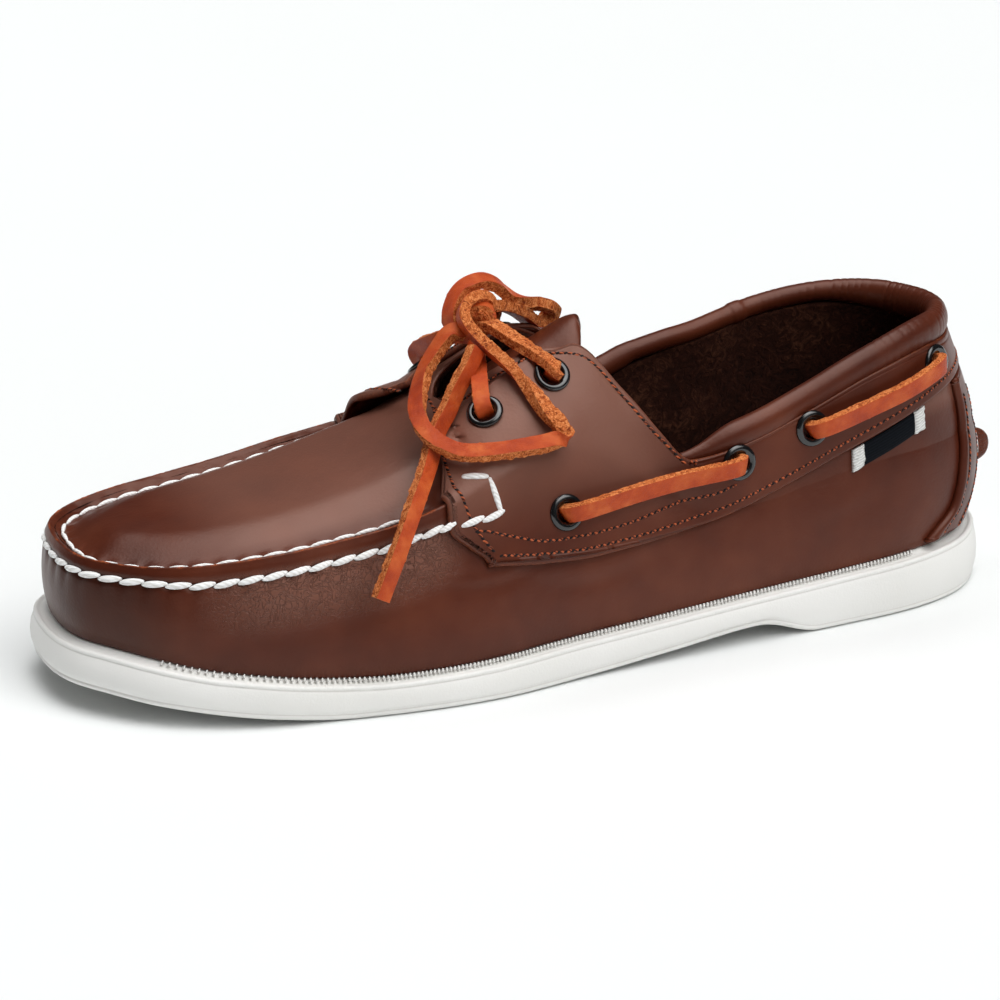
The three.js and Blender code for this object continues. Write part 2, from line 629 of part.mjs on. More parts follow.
// ---- eyelets and their holes ----------------------------------------------------------------------------------
function eyeletPlaces() {
  return EYELETS.flatMap((row, i) => ['outer', 'inner'].map((side) => {
    const angle = angleOf(row.at) * (side === 'outer' ? 1 : -1);
    const run = runAtHeight(angle, row[`${side}_z`]);
    const normal = formNormal(angle, run);
    const surface = GAP + OVERLAY + wingLift(angle, run);
    const foot = grown(angle, run, surface);
    return { name: `${side}_${i + 1}`, angle, run, normal, foot };
  }));
}

function turnedTo(geometry, place, off) {
  const turn = new THREE.Quaternion().setFromUnitVectors(new THREE.Vector3(0, 1, 0), place.normal);
  geometry.applyQuaternion(turn);
  const centre = place.foot.clone().addScaledVector(place.normal, off);
  return geometry.translate(centre.x, centre.y, centre.z);
}

function eyelet(place) {
  const profile = [
    [EYELET_HOLE, 0], [EYELET_OUTER, 0], [EYELET_OUTER - 0.4, 0.8], [EYELET_OUTER - 1.4, EYELET_TALL],
    [EYELET_HOLE, 0.9], [EYELET_HOLE, 0],
  ];
  const points = profile.map(([r, y]) => new THREE.Vector2(r, y));
  return turnedTo(new THREE.LatheGeometry(points, 9), place, EYELET_CLEAR);
}

const EYELET_CLEAR = 0.55;    // the flat ring clears the curved leather under it

function pierced(geometry, places) {
  let body = solid(geometry);
  for (const place of places) {
    const drill = new THREE.CylinderGeometry(EYELET_HOLE + 0.3, EYELET_HOLE + 0.3, 16, 8);
    body = body.subtract(solid(turnedTo(drill, place, -3)));
  }
  return geometryOf(body);
}

// ---- lace -------------------------------------------------------------------------------------------------------
const LACE_RADIUS = 2;        // round stand-in for the flat lace
const EYELETS_PLACED = eyeletPlaces();

function eyeletNamed(name) {
  return EYELETS_PLACED.find((place) => place.name === name);
}

function above(place, off) {
  return place.foot.clone().addScaledVector(place.normal, off);
}

const SPAN_UP = 5.4;          // middle of the lace above the form, between two eyelets

// A stretch of lace along the band, from one eyelet to the next.
function sideBar(from, to) {
  const a = eyeletNamed(from);
  const b = eyeletNamed(to);
  const along = b.foot.clone().sub(a.foot).normalize();
  const spans = [0.2, 0.35, 0.5, 0.65, 0.8].map((share) => {
    const angle = a.angle + (b.angle - a.angle) * share;
    const z = a.foot.z + (b.foot.z - a.foot.z) * share;
    return grown(angle, runAtHeight(angle, z), SPAN_UP);
  });
  const points = [
    above(a, -0.5), above(a, 3.6), above(a, 5.2).addScaledVector(along, 2.5), ...spans,
    above(b, 5.4).addScaledVector(along, -2.2), above(b, 3.8), above(b, -0.5),
  ];
  return tube(points, LACE_RADIUS, 8, 13);
}

function vectors(list) {
  return list.map(([x, y, z]) => new THREE.Vector3(x, y, z));
}

// The two front crossings meet under the knot and are one solid.
function crossings() {
  const first = [above(eyeletNamed('outer_1'), 0), above(eyeletNamed('outer_1'), 5),
    ...vectors([[-19.5, -13, 89], [-17, -6, 92], [-15, 0, 93], [-18, 5, 94.5], [-22.5, 10, 93.5]]),
    above(eyeletNamed('inner_1'), 5), above(eyeletNamed('inner_1'), 0)];
  const second = [above(eyeletNamed('outer_2'), 0), above(eyeletNamed('outer_2'), 5),
    ...vectors([[-6, -12, 97.5], [-10, -5, 95], [-14, 0, 93], [-9, 6, 95], [-4, 12.5, 95.8]]),
    above(eyeletNamed('inner_2'), 5), above(eyeletNamed('inner_2'), 0)];
  const bars = [first, second].map((points) => solid(tube(points, LACE_RADIUS, 8, 15)));
  return geometryOf(bars[0].add(bars[1]));
}

const KNOT = { x: -15, y: -1, z: 100.2, radius: 4.2 };
const NEAR_LOOP = vectors([
  [-20.5, -4, 97], [-24.5, -4, 96.8], [-29.5, -5, 93.3], [-35.5, -8, 87.6], [-40, -13, 83],
  [-42.3, -20.5, 79.2], [-41.2, -27.6, 75.9], [-38, -32.3, 73.5], [-34.4, -36.4, 72.6],
  [-25.8, -39.2, 72.2], [-16.3, -40.5, 72.6], [-7.4, -40.5, 73], [-2, -40, 74.5], [-1.5, -37.5, 77.2], [-5, -33.5, 80.8],
  [-9, -27.5, 85.6], [-12.4, -21.5, 90.4], [-17.4, -14, 96], [-20.7, -9, 100.8], [-21.5, -6, 103.9],
  [-19.1, -3, 107], [-14.3, 0, 107.7], [-10.1, 2, 105.2], [-9, 2, 101.5],
]);
const FAR_LOOP = vectors([
  [-21.8, 1, 99.5], [-21.5, 2.5, 103.5], [-17, 5.2, 109], [-10, 6.5, 110.4], [-4.7, 8, 107.5],
  [-0.9, 10, 102.2], [4.5, 12.5, 98.6], [11, 15.5, 95.5], [16.5, 18.5, 93], [19.5, 21.5, 90.3],
  [16.5, 21, 87.6], [11, 17, 89.8], [4, 11.5, 95.2], [-3, 7.5, 100.2], [-8.2, 4.5, 101.6],
]);
const HANGING_END = vectors([
  [-20.6, -14, 94.5], [-23.9, -16.7, 90.9], [-28.2, -18.3, 85.3], [-32.6, -21, 79.2],
  [-37, -23.6, 74.4], [-43, -31.8, 68.0], [-51.5, -43, 61.5], [-60.7, -51.3, 49.5],
  [-67.3, -54.3, 37.5],
]);

function knot() {
  return new THREE.SphereGeometry(KNOT.radius, 10, 7).translate(KNOT.x, KNOT.y, KNOT.z);
}

// ---- heel tag ------------------------------------------------------------------------------------------------------
const TAG_ENDS = [{ at: 95, z: 49.8 }, { at: 121.5, z: 58.8 }];
const TAG_HALF = 4.0;
const TAG_THICK = 0.9;

function tag() {
  const shares = [0, 0.25, 0.5, 0.75, 1];
  const grid = (off) => shares.map((share) => {
    const at = TAG_ENDS[0].at + (TAG_ENDS[1].at - TAG_ENDS[0].at) * share;
    const z = TAG_ENDS[0].z + (TAG_ENDS[1].z - TAG_ENDS[0].z) * share;
    const angle = angleOf(at);
    return [-1, 0, 1].map((up) => grown(angle, runAtHeight(angle, z + up * TAG_HALF), off));
  });
  return laidOn(triangles(sheet(grid(GAP + TAG_THICK), grid(GAP - SUNK))));
}

// ---- the shoe ------------------------------------------------------------------------------------------------------
const brown = { color: 0x5a2e24, roughness: 0.42, metalness: 0 };
const rubber = { color: 0xedece8, roughness: 0.6, metalness: 0 };
const orange = { color: 0xb04a24, roughness: 0.6, metalness: 0 };
const enamel = { color: 0x17181a, roughness: 0.25, metalness: 0.6 };
const suede = { color: 0x2e1a14, roughness: 0.95, metalness: 0 };
const navy = { color: 0x1a2230, roughness: 0.85, metalness: 0 };

const shoe = new THREE.Group();

function addPiece(name, geometry, finish) {
  const mesh = new THREE.Mesh(geometry, new THREE.MeshStandardMaterial(finish));
  mesh.name = name;
  shoe.add(mesh);
}

addPiece('outsole', outsole(), rubber);
addPiece('insole', insole(), suede);
addPiece('upper', pierced(shell(0, -LEATHER), EYELETS_PLACED), brown);
addPiece('saddle', pierced(saddle(), EYELETS_PLACED), brown);
addPiece('heel_stay', heelStay(), brown);
addPiece('collar_roll', collarRoll(), brown);
addPiece('tongue', tongue(), brown);
addPiece('heel_tag', tag(), navy);
for (const place of EYELETS_PLACED) addPiece(`eyelet_${place.name}`, eyelet(place), enamel);
for (const side of ['outer', 'inner']) {
  addPiece(`lace_${side}_front`, sideBar(`${side}_3`, `${side}_4`), orange);
  addPiece(`lace_${side}_back`, sideBar(`${side}_5`, `${side}_6`), orange);
}
addPiece('lace_crossings', crossings(), orange);
addPiece('lace_knot', knot(), orange);
addPiece('lace_loop_near', tube(NEAR_LOOP, LACE_RADIUS, 8, 27), orange);
addPiece('lace_loop_far', tube(FAR_LOOP, LACE_RADIUS, 8, 20), orange);
addPiece('lace_end', tube(HANGING_END, LACE_RADIUS, 8, 12), orange);

export default shoe;
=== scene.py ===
# Visual model of a left boat shoe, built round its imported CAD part.
# Toe to -X, heel to +X, outer side of the foot to -Y, +Z up, floor at Z 0.
# Sizes are in millimetres until a mesh is made. MM turns them to metres.
import math
import bmesh
import bpy
import numpy as np
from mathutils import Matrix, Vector, noise


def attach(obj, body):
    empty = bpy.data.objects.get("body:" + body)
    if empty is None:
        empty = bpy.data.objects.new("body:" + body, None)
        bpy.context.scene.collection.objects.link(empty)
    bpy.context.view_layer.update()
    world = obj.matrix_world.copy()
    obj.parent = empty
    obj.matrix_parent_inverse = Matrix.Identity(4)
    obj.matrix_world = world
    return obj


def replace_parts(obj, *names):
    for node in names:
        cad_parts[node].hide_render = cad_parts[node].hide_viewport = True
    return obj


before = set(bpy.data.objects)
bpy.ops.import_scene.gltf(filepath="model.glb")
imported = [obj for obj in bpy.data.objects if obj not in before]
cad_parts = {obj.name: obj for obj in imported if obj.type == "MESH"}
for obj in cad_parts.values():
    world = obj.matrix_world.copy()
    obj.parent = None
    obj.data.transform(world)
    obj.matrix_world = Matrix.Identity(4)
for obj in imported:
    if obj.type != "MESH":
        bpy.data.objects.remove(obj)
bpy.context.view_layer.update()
MM = 0.001

# ---- driving dimensions, as in the part -------------------------------------------------------
HALF_LENGTH = 149
LEDGE = 4.5
FEATHER_UP = 1.6
LEATHER = 2.2
GAP = 0.3
OVERLAY = 1.8
RIDGE_DROP = 3.8
RIDGE_SHARE = 0.55
GROOVE_SHARE = 0.13
THROAT_X = -30
INSOLE_THICK = 3
EYELET_OUTER = 5.5
EYELET_HOLE = 3.0
SPAN_UP = 5.4
LACE_WIDTH = 5.0
LACE_THICK = 2.7
LACE_STEP = 0.6
THREAD_PLY = 0.45


# ---- tables -----------------------------------------------------------------------------------
def table(columns, rows):
    return {name: np.array([row[i] for row in rows], float) for i, name in enumerate(columns)}


# Half widths of the outsole's rim, by the share of the length from the heel.
OUTLINE = table(("from_heel", "outer", "inner"), (
    (0.013, 12.8, 12.8), (0.05, 25.5, 25.5), (0.12, 34.6, 34.6), (0.20, 38.1, 37.1),
    (0.30, 41.3, 33.5), (0.40, 44.6, 33.0), (0.50, 48.0, 36.5), (0.60, 53.0, 44.0),
    (0.68, 53.1, 50.3), (0.75, 50.9, 53.5), (0.82, 48.4, 52.2), (0.88, 42.6, 48.0),
    (0.93, 33.7, 42.0), (0.97, 21.3, 33.0), (0.992, 11.0, 22.0),
))
TOE_TIP_Y = 3.5
RIM = table(("x", "z"), ((-149, 19.5), (-110, 14.3), (-60, 9.3), (0, 10.8), (60, 13.6), (149, 16.4)))
UNDERSIDE = table(("x", "z"), (
    (-149, 8.0), (-125, 5.6), (-95, 2.0), (-72, 0), (-28, 0), (0, 0.5), (30, 2.8), (60, 5.2),
    (81, 0), (149, 0),
))
MIDDLE = table(("x", "y"), ((-149, 3.5), (-100, 2.5), (-50, 0.5), (0, 0), (60, 0.5), (149, 0)))

# Sections of the upper from toe to heel: where a section aims, its ridge, the belly of its
# wall, how its top leaves the ridge and reaches its end, and that end.
SECTION = ("at", "aim", "ridge_in", "ridge_z", "low", "high", "turn_in", "turn_up", "end_in",
           "end_down", "top_in", "top_z")
OUTER_SIDE = table(SECTION, (
    (-149, -112, 0.6, 46.0, 2.6, 2.6, 10, 3.0, 12, 1.0, 99, 52.0),
    (-140, -108, 1.2, 46.0, 2.6, 2.6, 10, 3.0, 12, 1.0, 99, 52.5),
    (-120, -97, 3.4, 47.0, 2.8, 2.4, 11, 4.0, 13, 1.0, 99, 54.0),
    (-100, -83, 5.0, 49.0, 2.8, 2.2, 12, 4.5, 15, 1.0, 99, 56.5),
    (-80, -68, 6.0, 51.0, 2.8, 2.0, 12, 5.0, 17, 1.0, 99, 60.0),
    (-60, -53, 7.5, 53.6, 2.8, 2.0, 11, 6.0, 18, 1.0, 99, 64.5),
    (-40, -37, 9.0, 58.0, 2.6, 3.0, 9, 8.0, 18, 1.5, 99, 71.5),
    (-30, -29, 9.5, 61.0, 2.6, 4.0, 7, 9.0, 16, 2.5, 44, 77.0),
    (-15, -15, 9.5, 65.0, 2.6, 4.5, 5, 10, 12, 4.0, 34, 87.0),
    (0, 0, 8.5, 67.0, 2.4, 4.5, 4, 11, 7, 6.0, 28, 93.0),
    (8, 8, 7.5, 65.0, 2.2, 4.0, 4, 10, 6, 7.0, 24, 92.5),
    (20, 20, 5.0, 58.0, 2.0, 3.0, 3, 8, 4, 6.0, 15, 79.5),
    (30, 30, 3.5, 50.0, 1.8, 2.4, 2, 5, 2, 5.0, 8, 67.5),
    (40, 40, 2.2, 43.0, 1.6, 1.8, 1, 4, 1, 4.0, 4.5, 59.0),
    (60, 60, 1.6, 42.0, 1.6, 1.6, 0.5, 5, 1, 5.0, 4.0, 62.0),
    (80, 79, 1.4, 45.0, 1.6, 1.6, 0.5, 6, 1, 6.0, 4.0, 68.5),
    (100, 97, 1.2, 48.0, 2.0, 1.8, 0.5, 6, 1.5, 6.0, 4.2, 75.3),
    (115, 108, 0.8, 49.0, 2.3, 2.2, 0.5, 7, 1.8, 7.0, 4.4, 79.0),
    (128, 114, 0.3, 49.0, 2.6, 2.4, 0.5, 8, 2, 7.0, 5.0, 80.3),
    (140, 118, -0.8, 49.0, 3.2, 3.0, 0.5, 9, 2.5, 8.0, 6.5, 80.0),
    (149, 120, -1.5, 49.0, 3.4, 3.2, 0.5, 9, 3, 9.0, 8.5, 79.5),
))
INNER_SIDE = table(SECTION, (
    (-149, -112, 0.6, 46.0, 2.6, 2.6, 10, 3.0, 12, 1.0, 99, 52.0),
    (-140, -108, 1.6, 46.5, 2.6, 2.6, 10, 3.0, 12, 1.0, 99, 52.5),
    (-120, -97, 5.5, 48.5, 2.8, 2.4, 11, 4.0, 13, 1.0, 99, 54.0),
    (-100, -83, 8.0, 50.0, 2.8, 2.2, 12, 4.5, 15, 1.0, 99, 56.5),
    (-80, -68, 9.0, 52.5, 2.8, 2.0, 12, 4.5, 17, 1.0, 99, 60.0),
    (-60, -53, 9.5, 57.0, 2.8, 2.0, 11, 5.0, 18, 1.0, 99, 64.5),
    (-40, -37, 9.5, 61.5, 2.6, 3.0, 9, 7.0, 16, 1.5, 99, 71.5),
    (-30, -29, 9.5, 63.0, 2.6, 4.0, 6, 9.0, 14, 2.5, 40, 77.0),
    (-15, -15, 8.5, 66.0, 2.6, 4.5, 5, 10, 11, 4.0, 28, 87.0),
    (0, 0, 7.0, 67.0, 2.4, 4.5, 4, 11, 6, 6.0, 22, 91.5),
    (8, 8, 5.5, 65.0, 2.2, 4.0, 4, 10, 5, 6.0, 18, 88.5),
    (20, 20, 3.5, 60.0, 2.0, 3.0, 3, 8, 3, 6.0, 10, 79.5),
    (30, 30, 2.5, 54.0, 1.8, 2.4, 2, 5, 2, 5.0, 5.5, 72.0),
    (40, 40, 1.8, 48.0, 1.6, 1.8, 1, 4, 1, 4.0, 3.5, 66.5),
    (60, 60, 1.4, 46.0, 1.6, 1.6, 0.5, 5, 1, 5.0, 3.0, 70.5),
    (80, 79, 1.2, 47.0, 1.6, 1.6, 0.5, 6, 1, 6.0, 3.0, 74.5),
    (100, 97, 1.0, 48.0, 2.0, 1.8, 0.5, 6, 1.5, 6.0, 3.6, 77.5),
    (115, 108, 0.6, 49.0, 2.3, 2.2, 0.5, 7, 1.8, 7.0, 4.2, 78.7),
    (128, 114, 0.3, 49.0, 2.6, 2.4, 0.5, 8, 2, 7.0, 4.8, 79.3),
    (140, 118, -0.8, 49.0, 3.2, 3.0, 0.5, 9, 2.5, 8.0, 6.5, 79.5),
    (149, 120, -1.5, 49.0, 3.4, 3.2, 0.5, 9, 3, 9.0, 8.5, 79.5),
))

# The lower edge of the saddle and the collar band, by station.
BAND_EDGE = table(("at", "z"), (
    (-30, 39), (-12, 37), (4, 36), (20, 37), (36, 38.5), (52, 41), (66, 45), (90, 53), (112, 60),
    (132, 65.5), (149, 67.5),
))
OUTER_WING_FRONT = table(("share", "at", "run"), (
    (0, -30, 0.31), (0.12, -35, 0.37), (0.25, -41.5, 0.46), (0.45, -41.5, 0.58), (0.65, -38, 0.70),
    (0.85, -35, 0.84), (1, -31, 0.91),
))
INNER_WING_FRONT = table(("share", "at", "run"), (
    (0, -34, 0.31), (0.12, -38, 0.37), (0.25, -44, 0.46), (0.45, -46, 0.58), (0.65, -46, 0.70),
    (0.85, -44, 0.80), (1, -38, 0.86),
))
OUTER_WING_LIFT = 2.0
INNER_WING_LIFT = 4.0
WING_LIFT_LENGTH = 28
STAY_EDGE = table(("z", "at"), (
    (18, 121), (23, 125.5), (27, 131), (33, 134), (41, 136), (49, 138), (58, 138.5), (66, 138),
))
STAY_THICK = 1.4
STAY_TOP_DROP = 0.8
EYELETS = table(("at", "outer_z", "inner_z"), (
    (-21.6, 77.5, 77.5), (-0.4, 86.0, 86.0), (-3.2, 50.3, 51.5), (54.6, 56.0, 61.5),
    (79.7, 62.5, 67.5), (127.5, 74.0, 73.5),
))
TONGUE = table(("x", "top", "half", "sag"), (
    (-42, 66, 18, 8), (-34, 69, 19, 9), (-28, 71.8, 19, 10), (-20, 77.3, 19, 12), (-10, 83, 19, 13.5),
    (0, 88, 19, 14.5), (7, 91.5, 18, 15), (12, 94.3, 16, 13.5), (16, 96, 12, 9), (18, 96.3, 7, 3),
))


# ---- curves -----------------------------------------------------------------------------------
def smooth(t):
    s = np.clip(t, 0, 1)
    return s * s * (3 - 2 * s)


def cubic(t, h, y0, y1, m0, m1):
    a = 2 * t ** 3 - 3 * t ** 2 + 1
    b = t ** 3 - 2 * t ** 2 + t
    c = 3 * t ** 2 - 2 * t ** 3
    d = t ** 3 - t ** 2
    return a * y0 + b * h * m0 + c * y1 + d * h * m1


def through(xs, ys, x):
    """A curve through (xs, ys) that never overshoots its rows and is level at both ends."""
    h = np.diff(xs)
    s = np.diff(ys) / h
    slopes = np.zeros(len(xs))
    mean = (h[1:] * s[:-1] + h[:-1] * s[1:]) / (h[1:] + h[:-1])
    most = np.minimum(np.minimum(abs(mean), 3 * abs(s[:-1])), 3 * abs(s[1:]))
    slopes[1:-1] = np.where(s[:-1] * s[1:] > 0, np.sign(mean) * most, 0)
    at = np.clip(x, xs[0], xs[-1])
    i = np.clip(np.searchsorted(xs, at, side="right") - 1, 0, len(xs) - 2)
    return cubic((at - xs[i]) / h[i], h[i], ys[i], ys[i + 1], slopes[i], slopes[i + 1])


def read(rows, key, x, column):
    return through(rows[key], rows[column], np.asarray(x, float))


def angle_of(x):
    """The angle of an outline point: 0 at the toe tip, pi at the heel, positive on the outer side."""
    return np.arccos(np.clip(-np.asarray(x, float) / HALF_LENGTH, -1, 1))


def station_of(angle):
    return -HALF_LENGTH * np.cos(angle)


def outline_ring():
    """The outline's own points by angle, carried past both ends so that it closes smoothly."""
    rows = [(0.0, TOE_TIP_Y), (math.pi, 0.0)]
    angles = np.arccos(2 * OUTLINE["from_heel"] - 1)
    rows += list(zip(angles, -OUTLINE["outer"])) + list(zip(-angles, OUTLINE["inner"]))
    rows.sort()
    turn = 2 * math.pi
    rows = [(a - turn, y) for a, y in rows[-4:]] + rows + [(a + turn, y) for a, y in rows[:4]]
    return np.array(rows).T


RING_ANGLE, RING_Y = outline_ring()
RING_STEP = np.diff(RING_ANGLE)
RING_SLOPE = np.diff(RING_Y) / RING_STEP
RING_M = np.zeros(len(RING_Y))
RING_M[1:-1] = ((RING_STEP[1:] * RING_SLOPE[:-1] + RING_STEP[:-1] * RING_SLOPE[1:])
                / (RING_STEP[1:] + RING_STEP[:-1]))


def wrapped(angle):
    return angle - 2 * math.pi * np.ceil((angle - math.pi) / (2 * math.pi) - 1e-12)


def outline_y(angle):
    a = wrapped(angle)
    i = np.clip(np.searchsorted(RING_ANGLE, a, side="right") - 1, 0, len(RING_STEP) - 1)
    t = (a - RING_ANGLE[i]) / RING_STEP[i]
    return cubic(t, RING_STEP[i], RING_Y[i], RING_Y[i + 1], RING_M[i], RING_M[i + 1])


def outline(angle, inset):
    """A point of the rim, moved square to it by inset."""
    step = 1e-3
    tx = station_of(angle + step) - station_of(angle - step)
    ty = outline_y(angle + step) - outline_y(angle - step)
    length = np.hypot(tx, ty)
    return station_of(angle) - inset * ty / length, outline_y(angle) + inset * tx / length


# ---- the form that upper and overlays share ---------------------------------------------------
def section(angle):
    values = {}
    for name in SECTION[1:]:
        outer = through(angle_of(OUTER_SIDE["at"]), OUTER_SIDE[name], abs(angle))
        inner = through(angle_of(INNER_SIDE["at"]), INNER_SIDE[name], abs(angle))
        values[name] = np.where(angle >= 0, outer, inner)
    return values


def bezier(p, t):
    s = 1 - t
    return s ** 3 * p[0] + 3 * s * s * t * p[1] + 3 * s * t * t * p[2] + t ** 3 * p[3]


def ridge_amount(x):
    """The seam ridge stands full in front of the saddle and fades out under it."""
    return 1 - smooth((x + 46) / 12)


def is_closed(x):
    return x <= THROAT_X + 1e-6


def form_point(angle, run):
    """A point of the form: run 0 is the bottom edge, 1 the middle line, slot's edge or collar."""
    angle, run = np.asarray(wrapped(np.asarray(angle, float))), np.asarray(run, float)
    row = section(angle)
    rim_x = station_of(angle)
    foot_x, foot_y = outline(angle, LEDGE)
    foot_z = read(RIM, "x", rim_x, "z") + FEATHER_UP
    middle_y = read(MIDDLE, "x", row["aim"], "y")
    length = np.hypot(row["aim"] - foot_x, middle_y - foot_y)
    dx, dy = (row["aim"] - foot_x) / length, (middle_y - foot_y) / length
    top_in = np.where(is_closed(rim_x), length, np.minimum(row["top_in"], length))
    ridge_up = row["ridge_z"] - foot_z
    top_up = row["top_z"] - foot_z
    t = np.clip(run / RIDGE_SHARE, 0, 1)
    wall_in = bezier((0, -row["low"], row["ridge_in"] - row["high"], row["ridge_in"]), t)
    wall_up = bezier((0, 0.3 * ridge_up, 0.72 * ridge_up, ridge_up), t)
    t = np.clip((run - RIDGE_SHARE) / (1 - RIDGE_SHARE), 0, 1)
    top_x = bezier((row["ridge_in"], row["ridge_in"] + row["turn_in"], top_in - row["end_in"], top_in), t)
    top_y = bezier((ridge_up, ridge_up + row["turn_up"], top_up - row["end_down"], top_up), t)
    fall = np.where(t < GROOVE_SHARE, smooth(t / GROOVE_SHARE), 1 - smooth((t - GROOVE_SHARE) / 0.4))
    top_y = top_y - RIDGE_DROP * ridge_amount(foot_x) * fall
    inward = np.where(run <= RIDGE_SHARE, wall_in, top_x)
    up = np.where(run <= RIDGE_SHARE, wall_up, top_y)
    point = np.broadcast_arrays(foot_x + dx * inward, foot_y + dy * inward, foot_z + up)
    return np.stack(point, axis=-1)


def unit(v):
    return v / np.maximum(np.linalg.norm(v, axis=-1, keepdims=True), 1e-9)


def form_normal(angle, run):
    step = 2e-3
    around = form_point(angle + step, run) - form_point(angle - step, run)
    upward = form_point(angle, np.minimum(run + step, 1)) - form_point(angle, np.maximum(run - step, 0))
    return unit(np.cross(around, upward))


def grown(angle, run, off=0.0):
    """The form, grown outwards by off."""
    angle, run = np.asarray(angle, float), np.asarray(run, float)
    normal = form_normal(angle, run)
    shut = (run > 1 - 1e-9) & is_closed(station_of(angle))
    both = unit(normal + form_normal(-angle, run))
    normal = np.where(shut[..., None], both, normal)
    return form_point(angle, run) + normal * np.asarray(off)[..., None]


def run_at_height(angle, z):
    angle, z = np.asarray(angle, float), np.asarray(z, float)
    low, high = np.zeros(np.broadcast(angle, z).shape), np.ones(np.broadcast(angle, z).shape)
    for _ in range(24):
        middle = (low + high) / 2
        under = form_point(angle, middle)[..., 2] < z
        low, high = np.where(under, middle, low), np.where(under, high, middle)
    return (low + high) / 2


def run_below_ridge(angle, distance):
    """The run on the wall at a distance below the seam ridge."""
    runs = np.linspace(RIDGE_SHARE * 0.5, RIDGE_SHARE, 60)
    points = form_point(np.asarray(angle)[:, None], runs[None, :])
    gaps = np.linalg.norm(points - points[:, -1:, :], axis=2)
    return runs[np.argmin(abs(gaps - np.reshape(distance, (-1, 1))), axis=1)]


def wing_lift(angle, run):
    most = np.where(angle >= 0, OUTER_WING_LIFT, INNER_WING_LIFT)
    back = smooth((station_of(angle) + 44) / WING_LIFT_LENGTH)
    return most * (1 - back) * smooth((run - RIDGE_SHARE) / 0.25)


def band_edge_run(angle):
    return run_at_height(angle, read(BAND_EDGE, "at", station_of(angle), "z"))


# ---- looks: one function adds a node, one makes a colour --------------------------------------
def colour(code):
    """An sRGB hex value as linear red, green, blue and a full alpha."""
    parts = [int(code[i:i + 2], 16) / 255 for i in (1, 3, 5)]
    return (*[c / 12.92 if c <= 0.04045 else ((c + 0.055) / 1.055) ** 2.4 for c in parts], 1.0)


def add(tree, kind, inputs=None, **settings):
    """Adds a node with its settings and inputs. An input is a value, or a socket to link from."""
    made = tree.nodes.new(kind)
    for name, value in settings.items():
        setattr(made, name, value)
    for name, value in (inputs or {}).items():
        if isinstance(value, bpy.types.NodeSocket):
            tree.links.new(value, made.inputs[name])
        else:
            made.inputs[name].default_value = value
    return made


def new_material(name):
    material = bpy.data.materials.new(name)
    material.use_nodes = True
    material.node_tree.nodes.clear()
    return material, material.node_tree


def per_mm(size):
    """A pattern's scale for a real size in millimetres, on coordinates in metres."""
    return 1 / (size * MM)


def ramp(tree, source, stops):
    """A colour ramp with (place, hex colour) stops."""
    made = add(tree, "ShaderNodeValToRGB", {"Fac": source})
    elements = made.color_ramp.elements
    while len(elements) < len(stops):
        elements.new(0.5)
    for element, (place, code) in zip(elements, stops):
        element.position = place
        element.color = colour(code)
    return made.outputs["Color"]


def mixed(tree, factor, first, second):
    made = add(tree, "ShaderNodeMix", data_type="RGBA", blend_type="MIX")
    for index, value in ((0, factor), (6, first), (7, second)):
        if isinstance(value, bpy.types.NodeSocket):
            tree.links.new(value, made.inputs[index])
        else:
            made.inputs[index].default_value = value
    return made.outputs[2]


def sum_of(tree, *parts):
    """Adds up (socket, weight) pairs."""
    total = None
    for socket, weight in parts:
        inputs = {0: socket, 1: weight, 2: total if total else 0.0}
        total = add(tree, "ShaderNodeMath", inputs, operation="MULTIPLY_ADD").outputs[0]
    return total


def calc(tree, operation, first, second):
    """One sum of two sockets or values."""
    return add(tree, "ShaderNodeMath", {0: first, 1: second}, operation=operation).outputs[0]


def bumped(tree, height, distance_mm):
    inputs = {"Height": height, "Distance": distance_mm * MM, "Strength": 1.0}
    return add(tree, "ShaderNodeBump", inputs).outputs["Normal"]


def finished(tree, **inputs):
    """The surface shader. An input's name has its spaces as underscores."""
    named = {name.replace("_", " "): value for name, value in inputs.items()}
    shader = add(tree, "ShaderNodeBsdfPrincipled", named)
    add(tree, "ShaderNodeOutputMaterial", {"Surface": shader.outputs[0]})


def spots(tree, place, size_mm, detail=2.0, rough=0.5, distort=0.0):
    inputs = {"Vector": place, "Scale": per_mm(size_mm), "Detail": detail, "Roughness": rough,
              "Distortion": distort}
    return add(tree, "ShaderNodeTexNoise", inputs).outputs[0]


def object_place(tree):
    return add(tree, "ShaderNodeTexCoord").outputs["Object"]


def painted(tree, name):
    """A number that a piece's mesh carries at each vertex."""
    return add(tree, "ShaderNodeAttribute", attribute_name=name).outputs["Fac"]


